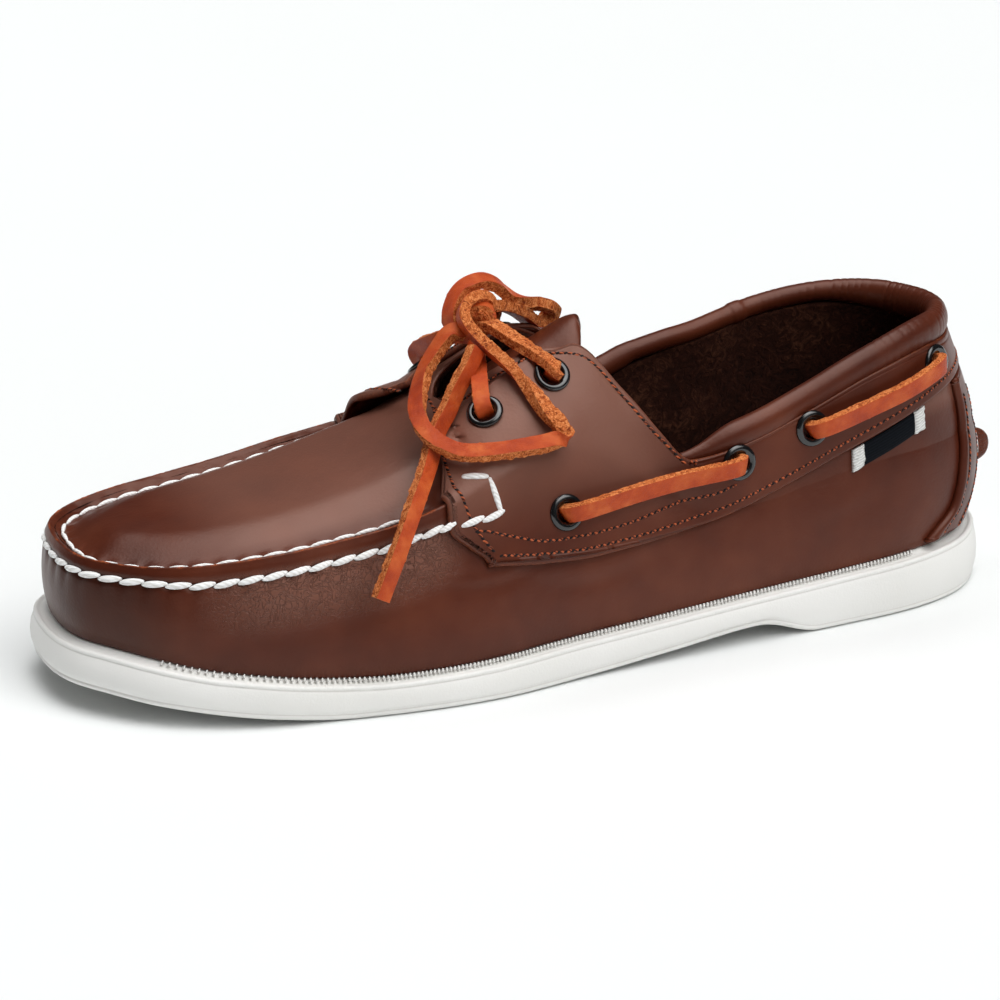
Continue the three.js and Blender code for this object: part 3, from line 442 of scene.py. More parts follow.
def waxed_leather():
    """Oil-waxed cowhide, plated smooth: a soft broad sheen, cloudy colour, a pale painted highlight on
    the tops of wings and apron that on gathered leather is also its waxy haze, fine pores, fine
    crackle where it is gathered, and orange fibres at cut edges."""
    material, tree = new_material("waxed_cowhide")
    place = object_place(tree)
    cloud = spots(tree, place, 38, 3.0, 0.6)
    colour_out = ramp(tree, cloud, ((0.30, "#43190d"), (0.52, "#532313"), (0.76, "#64301d")))
    fibre = spots(tree, place, 0.8, 4.0, 0.7)
    fibres = ramp(tree, fibre, ((0.38, "#4a1a0e"), (0.52, "#a04a22"), (0.70, "#c8703c")))
    # Painted highlight: this pale mix lightens the tops of the wings and the apron, where light from above
    # falls; on the gathered wall it is also the leather's real waxy haze.
    colour_out = mixed(tree, painted(tree, "highlight_haze"), colour_out, colour("#94695a"))
    colour_out = mixed(tree, painted(tree, "cut"), colour_out, fibres)
    # Painted shade: where a piece carries dark the leather goes near black: in the seam channel, on the toe's
    # front wall, in eyelet holes, and along cut edges, where it is partly the edges' real dye.
    colour_out = mixed(tree, painted(tree, "dark"), colour_out, colour("#160805"))
    pores = add(tree, "ShaderNodeTexVoronoi", {"Vector": place, "Scale": per_mm(0.9)})
    warp = add(tree, "ShaderNodeTexNoise", {"Vector": place, "Scale": per_mm(4.0), "Detail": 3.0})
    bent = add(tree, "ShaderNodeVectorMath", {0: warp.outputs["Color"], 1: (0.010, 0.010, 0.010)},
               operation="MULTIPLY_ADD")
    tree.links.new(place, bent.inputs[2])
    # The crackle's real cells are under a millimetre. Drawn at 2 mm, they show.
    crackle = add(tree, "ShaderNodeTexVoronoi", {"Vector": bent.outputs[0], "Scale": per_mm(2.0)},
                  feature="DISTANCE_TO_EDGE")
    crackle = add(tree, "ShaderNodeMapRange", {"Value": crackle.outputs["Distance"], "From Max": 0.14},
                  interpolation_type="SMOOTHSTEP").outputs[0]
    gathered = calc(tree, "MULTIPLY", painted(tree, "crumple"), crackle)
    wrinkle = spots(tree, place, 6.0, 4.0, 0.6, 0.6)
    height = sum_of(tree, (pores.outputs["Distance"], 0.10), (wrinkle, 0.45), (fibre, 0.10),
                    (gathered, 1.5))
    # Painted shade: the crackle's lines on gathered leather are darkened, as shade falls in them.
    lines = calc(tree, "SUBTRACT", painted(tree, "crumple"), gathered)
    lines = calc(tree, "MULTIPLY", lines, 0.06)
    colour_out = mixed(tree, lines, colour_out, colour("#1c0a05"))
    gloss = sum_of(tree, (spots(tree, place, 14, 3.0, 0.6), 0.20), (painted(tree, "cut"), 0.35))
    rough = calc(tree, "ADD", gloss, 0.27)
    shader = {"Base_Color": colour_out, "Roughness": rough, "Normal": bumped(tree, height, 0.24)}
    finished(tree, IOR=1.5, Specular_IOR_Level=0.40, Specular_Tint=colour("#ffdfd3"), **shader)
    return material


def suede(name, deep, mid, light, nap_mm=2.2):
    """Brushed split leather: dull, with a matted nap that catches the light in strokes."""
    material, tree = new_material(name)
    place = object_place(tree)
    nap = spots(tree, place, nap_mm, 5.0, 0.72, 1.6)
    cloud = spots(tree, place, 22, 2.0)
    tint = sum_of(tree, (nap, 0.6), (cloud, 0.4))
    colour_out = ramp(tree, tint, ((0.34, deep), (0.52, mid), (0.72, light)))
    finished(tree, Base_Color=colour_out, Roughness=0.92, Normal=bumped(tree, nap, 1.5),
             Specular_IOR_Level=0.15)
    return material


def lace_leather():
    """Rawhide lace, dyed through: a smooth orange-red grain face, pale torn fibres on the rest."""
    material, tree = new_material("dyed_rawhide")
    place = object_place(tree)
    cloud = spots(tree, place, 9, 3.0, 0.6)
    face = ramp(tree, cloud, ((0.32, "#a5350f"), (0.52, "#bf4917"), (0.74, "#d66a30")))
    strand = spots(tree, place, 1.3, 5.0, 0.75, 1.6)
    torn = ramp(tree, strand, ((0.38, "#6a230b"), (0.46, "#b9581f"), (0.56, "#d98146"), (0.68, "#eda468")))
    colour_out = mixed(tree, painted(tree, "torn"), face, torn)
    pores = add(tree, "ShaderNodeTexVoronoi", {"Vector": place, "Scale": per_mm(0.7)})
    height = sum_of(tree, (pores.outputs["Distance"], 0.1), (strand, 1.0))
    rough = sum_of(tree, (painted(tree, "torn"), 0.38), (cloud, 0.2))
    rough = calc(tree, "ADD", rough, 0.34)
    finished(tree, Base_Color=colour_out, Roughness=rough, Normal=bumped(tree, height, 0.35), IOR=1.5,
             Specular_IOR_Level=0.3)
    return material


def moulded_rubber():
    """Injection-moulded white rubber: dull, a hair warm, with a faint grain."""
    material, tree = new_material("white_moulded_rubber")
    place = object_place(tree)
    cloud = spots(tree, place, 60, 2.0)
    colour_out = ramp(tree, cloud, ((0.3, "#ecebe7"), (0.7, "#f4f3f0")))
    # Painted shade: where the sole carries dark the rubber is greyed, in its sipes and side grooves.
    colour_out = mixed(tree, painted(tree, "dark"), colour_out, colour("#b9b2aa"))
    grain = spots(tree, place, 0.6, 3.0)
    finished(tree, Base_Color=colour_out, Roughness=0.52, Normal=bumped(tree, grain, 0.06), IOR=1.5)
    return material


def enamel():
    """Black baked enamel on brass eyelets: a hard gloss with crescent highlights."""
    material, tree = new_material("black_baked_enamel")
    place = object_place(tree)
    speck = spots(tree, place, 1.5, 2.0)
    colour_out = ramp(tree, speck, ((0.3, "#070708"), (0.8, "#0e0f11")))
    finished(tree, Base_Color=colour_out, Roughness=0.16, IOR=1.6, Coat_Weight=0.3,
             Coat_Roughness=0.08, Normal=bumped(tree, speck, 0.02))
    return material


def thread(name, deep, light):
    """Waxed bonded thread: plies twist round it, so it shows fine slanting lines, with painted shade between
    the plies and lighter crests.
    """
    material, tree = new_material(name)
    place = object_place(tree)
    inputs = {"Vector": place, "Scale": per_mm(THREAD_PLY) / 6, "Distortion": 1.5, "Detail": 1.0}
    ply = add(tree, "ShaderNodeTexWave", inputs, bands_direction="DIAGONAL").outputs["Fac"]
    # Painted shade and highlight: the colour darkens in the twist's grooves and lightens on the plies'
    # crests, in the same bands as the bump.
    colour_out = ramp(tree, ply, ((0.2, deep), (0.7, light)))
    finished(tree, Base_Color=colour_out, Roughness=0.55, Normal=bumped(tree, ply, 0.08),
             Specular_IOR_Level=0.3)
    return material


def webbing(name, deep, light):
    """Woven grosgrain tape: fine ribs run along it, with painted shade between the ribs and lighter crests.
    """
    material, tree = new_material(name)
    rib = painted(tree, "rib")
    fuzz = spots(tree, object_place(tree), 0.5, 4.0, 0.7)
    # Painted shade: the rib number darkens the tape between the raised ribs; the fuzz is the weave's own
    # tone.
    tint = sum_of(tree, (rib, 0.7), (fuzz, 0.45))
    colour_out = ramp(tree, tint, ((0.25, deep), (0.85, light)))
    finished(tree, Base_Color=colour_out, Roughness=0.85, Normal=bumped(tree, fuzz, 0.15),
             Specular_IOR_Level=0.12)
    return material


def painted_hole_shade():
    """Painted shade: the dark inside a needle's or an eyelet's hole."""
    material, tree = new_material("needle_hole_shadow")
    fuzz = spots(tree, object_place(tree), 0.6, 2.0)
    finished(tree, Base_Color=ramp(tree, fuzz, ((0.3, "#0b0403"), (0.8, "#180a06"))), Roughness=0.9)
    return material


COWHIDE = waxed_leather()
LINING = suede("brushed_split_lining", "#1a0905", "#3a1b11", "#704631", 3.0)
FOOT_BED = suede("brushed_split_foot_bed", "#1e0d08", "#3a1c12", "#5a3222", 1.6)
RAWHIDE = lace_leather()
RUBBER = moulded_rubber()
ENAMEL = enamel()
WHITE_THREAD = thread("waxed_white_thread", "#eceae7", "#ffffff")
BROWN_THREAD = thread("waxed_brown_thread", "#45190b", "#b4572f")
HOLE_SHADE = painted_hole_shade()
NAVY_TAPE = webbing("navy_grosgrain", "#06080b", "#11151c")
WHITE_TAPE = webbing("white_cotton_selvedge", "#c9c9c6", "#f4f4f2")


# ---- meshes -----------------------------------------------------------------------------------
def make_piece(name, points, faces, material, numbers=None):
    """A mesh from points in millimetres. numbers are values that each vertex carries."""
    mesh = bpy.data.meshes.new(name)
    mesh.from_pydata((np.asarray(points, float) * MM).tolist(), [], faces)
    for key, values in (numbers or {}).items():
        layer = mesh.attributes.new(key, "FLOAT", "POINT")
        layer.data.foreach_set("value", np.asarray(values, np.float32))
    mesh.materials.append(material)
    mesh.shade_smooth()
    mesh.update()
    piece = bpy.data.objects.new(name, mesh)
    bpy.context.scene.collection.objects.link(piece)
    return piece


def grid_faces(rows, columns, start=0, closed_rows=False, closed_columns=False, flip=False):
    """Quads between neighbouring points of a grid whose columns run fastest."""
    i = np.arange(rows if closed_rows else rows - 1)
    j = np.arange(columns if closed_columns else columns - 1)
    i, j = (a.ravel() for a in np.meshgrid(i, j, indexing="ij"))
    k, m = (i + 1) % rows, (j + 1) % columns
    quads = np.stack([i * columns + j, k * columns + j, k * columns + m, i * columns + m], axis=1)
    if flip:
        quads = quads[:, ::-1]
    return (quads + start).tolist()


def tidy(piece, weld_mm=0.004):
    """Merges doubled points and turns all faces outwards."""
    work = bmesh.new()
    work.from_mesh(piece.data)
    bmesh.ops.remove_doubles(work, verts=work.verts, dist=weld_mm * MM)
    bmesh.ops.dissolve_degenerate(work, edges=work.edges, dist=weld_mm * MM * 0.5)
    bmesh.ops.recalc_face_normals(work, faces=work.faces)
    work.to_mesh(piece.data)
    work.free()
    piece.data.update()


def sheet_piece(name, outer, inner, material, numbers=None, closed_rows=False):
    """A sheet with thickness from two grids with the same rows and columns, closed at its rims."""
    rows, columns = outer.shape[:2]
    half = rows * columns
    points = np.concatenate([outer.reshape(-1, 3), inner.reshape(-1, 3)])
    faces = grid_faces(rows, columns, 0, closed_rows)
    inner_faces = grid_faces(rows, columns, half, closed_rows, flip=True)
    count = rows if closed_rows else rows - 1
    rims = []
    for i in range(count):
        a, b = i * columns, (i + 1) % rows * columns
        rims.append([a, half + a, half + b, b])
        a, b = a + columns - 1, b + columns - 1
        rims.append([a, b, half + b, half + a])
    if not closed_rows:
        last = (rows - 1) * columns
        for j in range(columns - 1):
            rims.append([j, j + 1, half + j + 1, half + j])
            rims.append([last + j, half + last + j, half + last + j + 1, last + j + 1])
    both = {key: np.concatenate([np.ravel(v[0]), np.ravel(v[1])]) for key, v in (numbers or {}).items()}
    return make_piece(name, points, faces + rims + inner_faces, material, both)


def lengths_along(points):
    """How far along a line each of its points is."""
    return np.concatenate([[0], np.cumsum(np.linalg.norm(np.diff(points, axis=0), axis=1))])


def points_at(places, lengths, points):
    """The points at some places along a line."""
    return np.stack([np.interp(places, lengths, points[:, k]) for k in range(3)], axis=1)


def end_faces(rings, count):
    """The two faces that close a tube of rings."""
    last = (rings - 1) * count
    return [list(range(count))[::-1], [last + k for k in range(count)]]


def as_one(bodies):
    """The points and faces of several (points, faces) bodies together."""
    points, faces = [], []
    for body_points, body_faces in bodies:
        start = sum(len(part) for part in points)
        points.append(body_points)
        faces += [[k + start for k in face] for face in body_faces]
    return np.concatenate(points), faces


def settle(piece):
    """Cleans a finished piece and lets it ride on the shoe."""
    tidy(piece)
    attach(piece, "root")


# ---- camera, lights and floor -----------------------------------------------------------------
def set_camera():
    azimuth, elevation = math.radians(-23), math.radians(20)
    distance, frame_mm = 1800, 297.5
    target = Vector((-7.0, 0, 41.1)) * MM
    back = Vector((math.sin(azimuth) * math.cos(elevation), -math.cos(azimuth) * math.cos(elevation),
                   math.sin(elevation)))
    data = bpy.data.cameras.new("camera")
    camera = bpy.data.objects.new("camera", data)
    bpy.context.scene.collection.objects.link(camera)
    data.angle = 2 * math.atan(frame_mm / 2 / distance)
    camera.location = target + back * distance * MM
    camera.rotation_mode = "QUATERNION"
    camera.rotation_quaternion = (-back).to_track_quat("-Z", "Y")
    data.clip_start, data.clip_end = 0.05, 50
    bpy.context.scene.camera = camera


# Soft lights: where each lies, how many degrees from there it begins and is full, how bright.
CEILING_LIGHTS = (((0.0, 0.12, 1.0), 30, 8, 4.2), ((0.24, -0.50, 0.83), 33, 9, 3.95))
STUDIO_DIM = 0.06
LIT_POINT = (0, 0, 0.04)
FLOOR_HALF = 4000


def softbox(name, place, size, power):
    """A square studio light, aimed at the shoe. place in metres."""
    data = bpy.data.lights.new(name, "AREA")
    data.shape = "RECTANGLE"
    data.size, data.size_y = size
    data.energy = power
    light = bpy.data.objects.new(name, data)
    light.location = place
    light.rotation_mode = "QUATERNION"
    light.rotation_quaternion = (Vector(LIT_POINT) - Vector(place)).to_track_quat("-Z", "Y")
    bpy.context.scene.collection.objects.link(light)


def set_world(scene):
    """A dim studio under a wide bright ceiling, so that tops shine and sides stay deep."""
    world = bpy.data.worlds.new("studio")
    world.use_nodes = True
    tree = world.node_tree
    tree.nodes.clear()
    way = add(tree, "ShaderNodeTexCoord").outputs["Generated"]
    glow = None
    for direction, start, full, strength in CEILING_LIGHTS:
        facing = add(tree, "ShaderNodeVectorMath", {0: way, 1: tuple(Vector(direction).normalized())},
                     operation="DOT_PRODUCT").outputs["Value"]
        inputs = {"Value": facing, "From Min": math.cos(math.radians(start)),
                  "From Max": math.cos(math.radians(full)), "To Max": strength}
        lobe = add(tree, "ShaderNodeMapRange", inputs, interpolation_type="SMOOTHSTEP").outputs[0]
        base = glow if glow else STUDIO_DIM
        glow = calc(tree, "ADD", lobe, base)
    backing = add(tree, "ShaderNodeBackground", {"Color": (1.0, 1.0, 0.995, 1), "Strength": glow})
    add(tree, "ShaderNodeOutputWorld", {"Surface": backing.outputs[0]})
    scene.world = world


def set_studio():
    scene = bpy.context.scene
    scene.view_settings.view_transform = "Standard"
    set_world(scene)
    softbox("front_softbox", (0.55, -1.6, 0.62), (0.7, 0.4), 0.4)
    material, tree = new_material("white_paper_sweep")
    fleck = spots(tree, object_place(tree), 400, 2.0)
    paper = ramp(tree, fleck, ((0.2, "#ebeded"), (0.8, "#eef0f0")))
    finished(tree, Base_Color=paper, Roughness=0.9, Specular_IOR_Level=0.1)
    corners = [(x * FLOOR_HALF, y * FLOOR_HALF, 0) for x, y in ((-1, -1), (1, -1), (1, 1), (-1, 1))]
    floor = make_piece("floor", corners, [[0, 1, 2, 3]], material)


# ---- lace -------------------------------------------------------------------------------------
def between(start, end, t, first, second):
    """first at t = start, second at t = end, and straight in between."""
    return (end - t) / (end - start) * first + (t - start) / (end - start) * second


def curve_through(route):
    """Points LACE_STEP apart on one smooth centripetal curve through a route, and their shares."""
    p = np.asarray(route, float)
    p = np.vstack([2 * p[0] - p[1], p, 2 * p[-1] - p[-2]])
    line = [p[1]]
    for i in range(1, len(p) - 2):
        gaps = np.sqrt(np.linalg.norm(np.diff(p[i - 1:i + 3], axis=0), axis=1))
        knots = np.concatenate([[0], np.cumsum(gaps)])
        t = np.linspace(knots[1], knots[2], 24)[1:, None]
        a = [between(knots[k], knots[k + 1], t, p[i - 1 + k], p[i + k]) for k in range(3)]
        b = [between(knots[k], knots[k + 2], t, a[k], a[k + 1]) for k in range(2)]
        line.extend(between(knots[1], knots[2], t, b[0], b[1]))
    line = np.array(line)
    lengths = lengths_along(line)
    count = max(int(lengths[-1] / LACE_STEP), 4)
    places = np.linspace(0, lengths[-1], count + 1)
    return points_at(places, lengths, line), places / lengths[-1], lengths[-1]


# One ring of the lace's section: place across, place through its thickness, how torn it is.
LACE_RING = (
    (-1.0, 0.50, 0.0), (-0.93, 0.515, 0.0), (-0.6, 0.52, 0.0), (-0.2, 0.52, 0.0), (0.2, 0.52, 0.0),
    (0.6, 0.52, 0.0), (0.93, 0.515, 0.0), (1.0, 0.50, 0.0), (1.0, 0.44, 1.0), (1.02, 0.25, 1.0),
    (1.0, 0.0, 1.0), (0.98, -0.25, 1.0), (0.97, -0.48, 1.0), (0.7, -0.50, 1.0), (0.4, -0.50, 1.0),
    (0.1, -0.50, 1.0), (-0.2, -0.50, 1.0), (-0.5, -0.50, 1.0), (-0.97, -0.48, 1.0),
    (-0.98, -0.25, 1.0), (-1.0, 0.0, 1.0), (-1.02, 0.25, 1.0), (-1.0, 0.44, 1.0),
)


def carried(along, face, start):
    """Carries a face direction along a line from one of its points, both ways, without twist."""
    faces = np.zeros_like(along)
    faces[start] = unit(face - along[start] * np.dot(face, along[start]))
    for order in (range(start + 1, len(along)), range(start - 1, -1, -1)):
        last = faces[start]
        for i in order:
            last = unit(last - along[i] * np.dot(last, along[i]))
            faces[i] = last
    return faces


def lace_body(route, faces_towards, seed=0.0, width=LACE_WIDTH, thick=LACE_THICK, tear=0.3):
    """A flat lace along a route. faces_towards has (share, x, y, z) rows: where its smooth face
    looks. A single row is carried along without twist."""
    line, share, length = curve_through(route)
    along = unit(np.gradient(line, axis=0))
    rows = np.array(faces_towards, float)
    if len(rows) == 1:
        face = carried(along, rows[0, 1:], int(rows[0, 0] * (len(line) - 1)))
    else:
        face = np.stack([np.interp(share, rows[:, 0], rows[:, k]) for k in (1, 2, 3)], axis=1)
        face = unit(face - along * np.sum(face * along, axis=1, keepdims=True))
    across = np.cross(along, face)
    ring = np.array(LACE_RING)
    count = len(ring)
    points = (line[:, None, :] + across[:, None, :] * (ring[None, :, 0:1] * width / 2)
              + face[:, None, :] * (ring[None, :, 1:2] * thick))
    outward = unit(across[:, None, :] * ring[None, :, 0:1] + face[:, None, :] * ring[None, :, 1:2] * 1.6)
    torn = np.broadcast_to(ring[None, :, 2], points.shape[:2])
    ragged = roughness_at(points, 1.9, seed) + 0.7 * roughness_at(points, 0.75, seed)
    points = points + outward * (ragged * torn * tear)[..., None]
    faces = grid_faces(len(line), count, closed_columns=True)
    last = (len(line) - 1) * count
    ends = [list(range(count)), [last + k for k in range(count)][::-1]]
    return {"points": points.reshape(-1, 3), "faces": faces + ends, "torn": torn.ravel(),
            "line": line, "length": length}


def roughness_at(points, size_mm, seed=0.0):
    """Smooth noise from -1 to 1 at each point, with bumps of about a size."""
    flat = points.reshape(-1, 3) / size_mm + seed
    values = np.fromiter((noise.noise(q) for q in flat.tolist()), float, len(flat))
    return values.reshape(points.shape[:-1])


def lace_piece(name, *bodies):
    """One piece from one or more bodies of lace, riding on the shoe."""
    points, faces = as_one([(body["points"], body["faces"]) for body in bodies])
    torn = np.concatenate([body["torn"] for body in bodies])
    piece = make_piece(name, points, faces, RAWHIDE, {"torn": torn})
    tidy(piece, 0.001)
    piece.data.set_sharp_from_angle(angle=math.radians(38))
    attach(piece, "root")
    return piece


NEAR_LOOP = (
    (-20.5, -4, 97), (-24.5, -4, 96.8), (-28.5, -5, 93.3), (-34.2, -8, 87.6), (-38.2, -13, 83),
    (-41.6, -20.5, 79.2), (-41.6, -27.6, 75.7), (-38.4, -32.3, 73.0), (-34.4, -36.4, 71.8),
    (-25.8, -39.2, 71.7), (-16.3, -40.5, 72.2), (-8, -40.6, 72.8), (-3.4, -40.2, 74.0),
    (-3.9, -37.8, 76.4), (-6.9, -33.5, 80.5), (-9.6, -27.5, 85.6), (-12.6, -21.5, 90.2),
    (-17.4, -14, 95.4), (-20.4, -9, 99.4), (-21.2, -6, 102), (-19, -3, 104.7), (-14.6, -0.5, 105.4),
    (-10.5, 1.5, 103.2), (-9.5, 1.5, 100.5),
)
NEAR_LOOP_FACES = (
    (0.0, -0.9, -0.3, 0.3), (0.12, -0.95, -0.25, 0.2), (0.22, -0.55, -0.8, 0.3), (0.32, 0.1, -0.7, 0.7),
    (0.45, -0.15, -0.45, 0.88), (0.535, -0.1, -0.6, 0.8), (0.562, 0.9, -0.35, 0.1),
    (0.585, 0.3, 0.75, -0.6), (0.64, -0.15, 0.5, -0.8), (0.73, -0.72, -0.12, -0.62),
    (0.85, -0.84, -0.15, -0.5), (0.91, -0.9, 0.2, 0.3), (0.95, -0.4, 0.5, 0.75), (1.0, 0.5, 0.6, 0.6),
)
FAR_LOOP = (
    (-21.8, 1, 97.5), (-21.5, 2.5, 101), (-17.3, 5.2, 106.3), (-10.5, 6.5, 108), (-5.2, 8, 105.8),
    (-0.9, 10, 101.7), (4.5, 12.5, 98.4), (11, 15.5, 95.5), (16.5, 18.5, 93), (19.0, 21.5, 90.3),
    (16.5, 21, 87.6), (11, 17, 89.8), (4, 11.5, 95.2), (-3, 7.5, 99.2), (-8.2, 4.5, 100.6),
)
FAR_LOOP_FACES = (
    (0.0, -0.9, -0.4, 0.0), (0.12, -0.8, -0.3, 0.5), (0.24, 0.0, -0.35, 0.95), (0.34, 0.5, -0.3, 0.8),
    (0.48, 0.2, 0.6, 0.8), (0.62, 0.8, 0.4, 0.3), (0.72, 0.3, 0.2, -0.9), (1.0, 0.3, 0.0, -1.0),
)
HANGING_END = (
    (-20.6, -14, 94.5), (-23.9, -16.7, 90.9), (-28.2, -18.3, 85.3), (-32.6, -21, 79.2),
    (-37, -23.6, 74.4), (-43, -31.8, 68.0), (-51.5, -43, 61.5), (-60.7, -51.3, 49.5),
    (-67.3, -54.3, 37.5),
)
HANGING_END_FACES = ((0.0, 0.5, -0.9, 0.3), (0.4, 0.3, -1.0, 0.35), (1.0, 0.25, -1.0, 0.2))


KNOT_CENTRE = (-15, -1, 99.2)
# Turns of lace round the knot: tilt of the turn, its radius, which share of a full turn it makes.
KNOT_TURNS = ((0.5, 4.7, 0.96), (-0.9, 4.0, 0.96), (1.9, 3.6, 0.96), (0.1, 2.0, 0.96))


def knot_turn(tilt, radius, share):
    first = unit(np.array((math.cos(tilt), -0.35, math.sin(tilt))))
    second = unit(np.cross(first, (0.45, 0.8, 0.2)))
    turns = np.linspace(0, 2 * math.pi * share, 10)
    spokes = [radius * (math.cos(t) * first + 0.8 * math.sin(t) * second) for t in turns]
    route = [np.array(KNOT_CENTRE) + spoke for spoke in spokes]
    way = 1 if radius > 4.5 else -1
    shares = np.linspace(0, 1, len(turns))
    looks = [(at, *unit(spoke) * way) for at, spoke in zip(shares, spokes)]
    return lace_body(route, looks, seed=tilt, width=4.4, tear=0.5)


def set_bow():
    """The knot, its two loops and the hanging end. The loops leave the knot and go back into it."""
    knot = lace_piece("knot_turns", *[knot_turn(*row) for row in KNOT_TURNS])
    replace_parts(knot, "lace_knot")
    cords = (
        ("lace_near_loop", "lace_loop_near", NEAR_LOOP, NEAR_LOOP_FACES, "object", "loose"),
        ("lace_far_loop", "lace_loop_far", FAR_LOOP, FAR_LOOP_FACES, "object", "loose"),
        ("lace_hanging_end", "lace_end", HANGING_END, HANGING_END_FACES, "bare", "hanging"),
    )
    for name, node_name, route, looks, far_end, lay in cords:
        body = lace_body(route, looks, seed=len(name) * 3.7, width=4.7, thick=3.2, tear=0.42)
        piece = lace_piece(name, body)
        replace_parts(piece, node_name)


set_camera()
set_studio()
set_bow()


# ---- eyelets and the laces between them -------------------------------------------------------
def eyelet_places():
    places = {}
    for i, at in enumerate(EYELETS["at"]):
        for side, sign in (("outer", 1), ("inner", -1)):
            angle = float(angle_of(at)) * sign
            run = float(run_at_height(angle, EYELETS[side + "_z"][i]))
            foot = grown(angle, run, GAP + OVERLAY + wing_lift(angle, run))
            places[f"{side}_{i + 1}"] = {"angle": angle, "run": run, "foot": foot,
                                         "normal": form_normal(angle, run)}
    return places


EYELET_PLACES = eyelet_places()


def above(name, off):
    place = EYELET_PLACES[name]
    return place["foot"] + place["normal"] * off


def side_lace(start, end):
    """A stretch of lace along the band, out of one eyelet and into the next. Its top edge leans out."""
    a, b = EYELET_PLACES[start], EYELET_PLACES[end]
    along = unit(b["foot"] - a["foot"])
    spans = []
    for share in (0.36, 0.64):
        angle = a["angle"] + (b["angle"] - a["angle"]) * share
        z = a["foot"][2] + (b["foot"][2] - a["foot"][2]) * share
        spans.append(grown(angle, run_at_height(angle, z), SPAN_UP))
    route = [above(start, -1.5), above(start, 2.2), above(start, 4.2) + along * 2.6, *spans,
             above(end, 4.2) - along * 2.6, above(end, 2.2), above(end, -1.5)]
    look = form_normal((a["angle"] + b["angle"]) / 2, (a["run"] + b["run"]) / 2)
    look = unit(np.array((look[0], look[1], -0.14)))
    return lace_body(route, ((0.5, *look),), seed=a["angle"] * 9, width=5.2, thick=2.5, tear=0.22)


CROSSING_FRONT = ((-19.5, -13, 89), (-17, -6, 92), (-15, 0, 93), (-18, 5, 92.8), (-22.5, 10, 90.3))
CROSSING_BACK = ((-6.5, -12.3, 94.2), (-12, -6, 98.2), (-14.5, 0, 97.5), (-9, 6, 96.5), (-4, 12.5, 95.8))


def set_side_laces():
    for side in ("outer", "inner"):
        for part, start, end in (("front", 3, 4), ("back", 5, 6)):
            piece = lace_piece(f"lace_{side}_{part}_strip", side_lace(f"{side}_{start}", f"{side}_{end}"))
            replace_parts(piece, f"lace_{side}_{part}")
    crossings = []
    looks_front = ((0, -0.3, -0.9, 0.3), (0.35, -0.3, -0.7, 0.6), (0.62, -0.7, -0.6, 0.1),
                   (1, -0.8, -0.4, -0.3))
    looks_back = ((0, -0.3, 0.5, -0.8), (0.45, -0.3, 0.6, -0.7), (1, -0.3, 0, -1))
    for number, middle, looks in ((1, CROSSING_FRONT, looks_front), (2, CROSSING_BACK, looks_back)):
        route = [above(f"outer_{number}", -1.5), above(f"outer_{number}", 4), *middle,
                 above(f"inner_{number}", 4), above(f"inner_{number}", -1.5)]
        crossings.append(lace_body(route, looks, seed=number * 5.1, width=4.8, tear=0.42))
    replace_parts(lace_piece("lace_crossing_strips", *crossings), "lace_crossings")


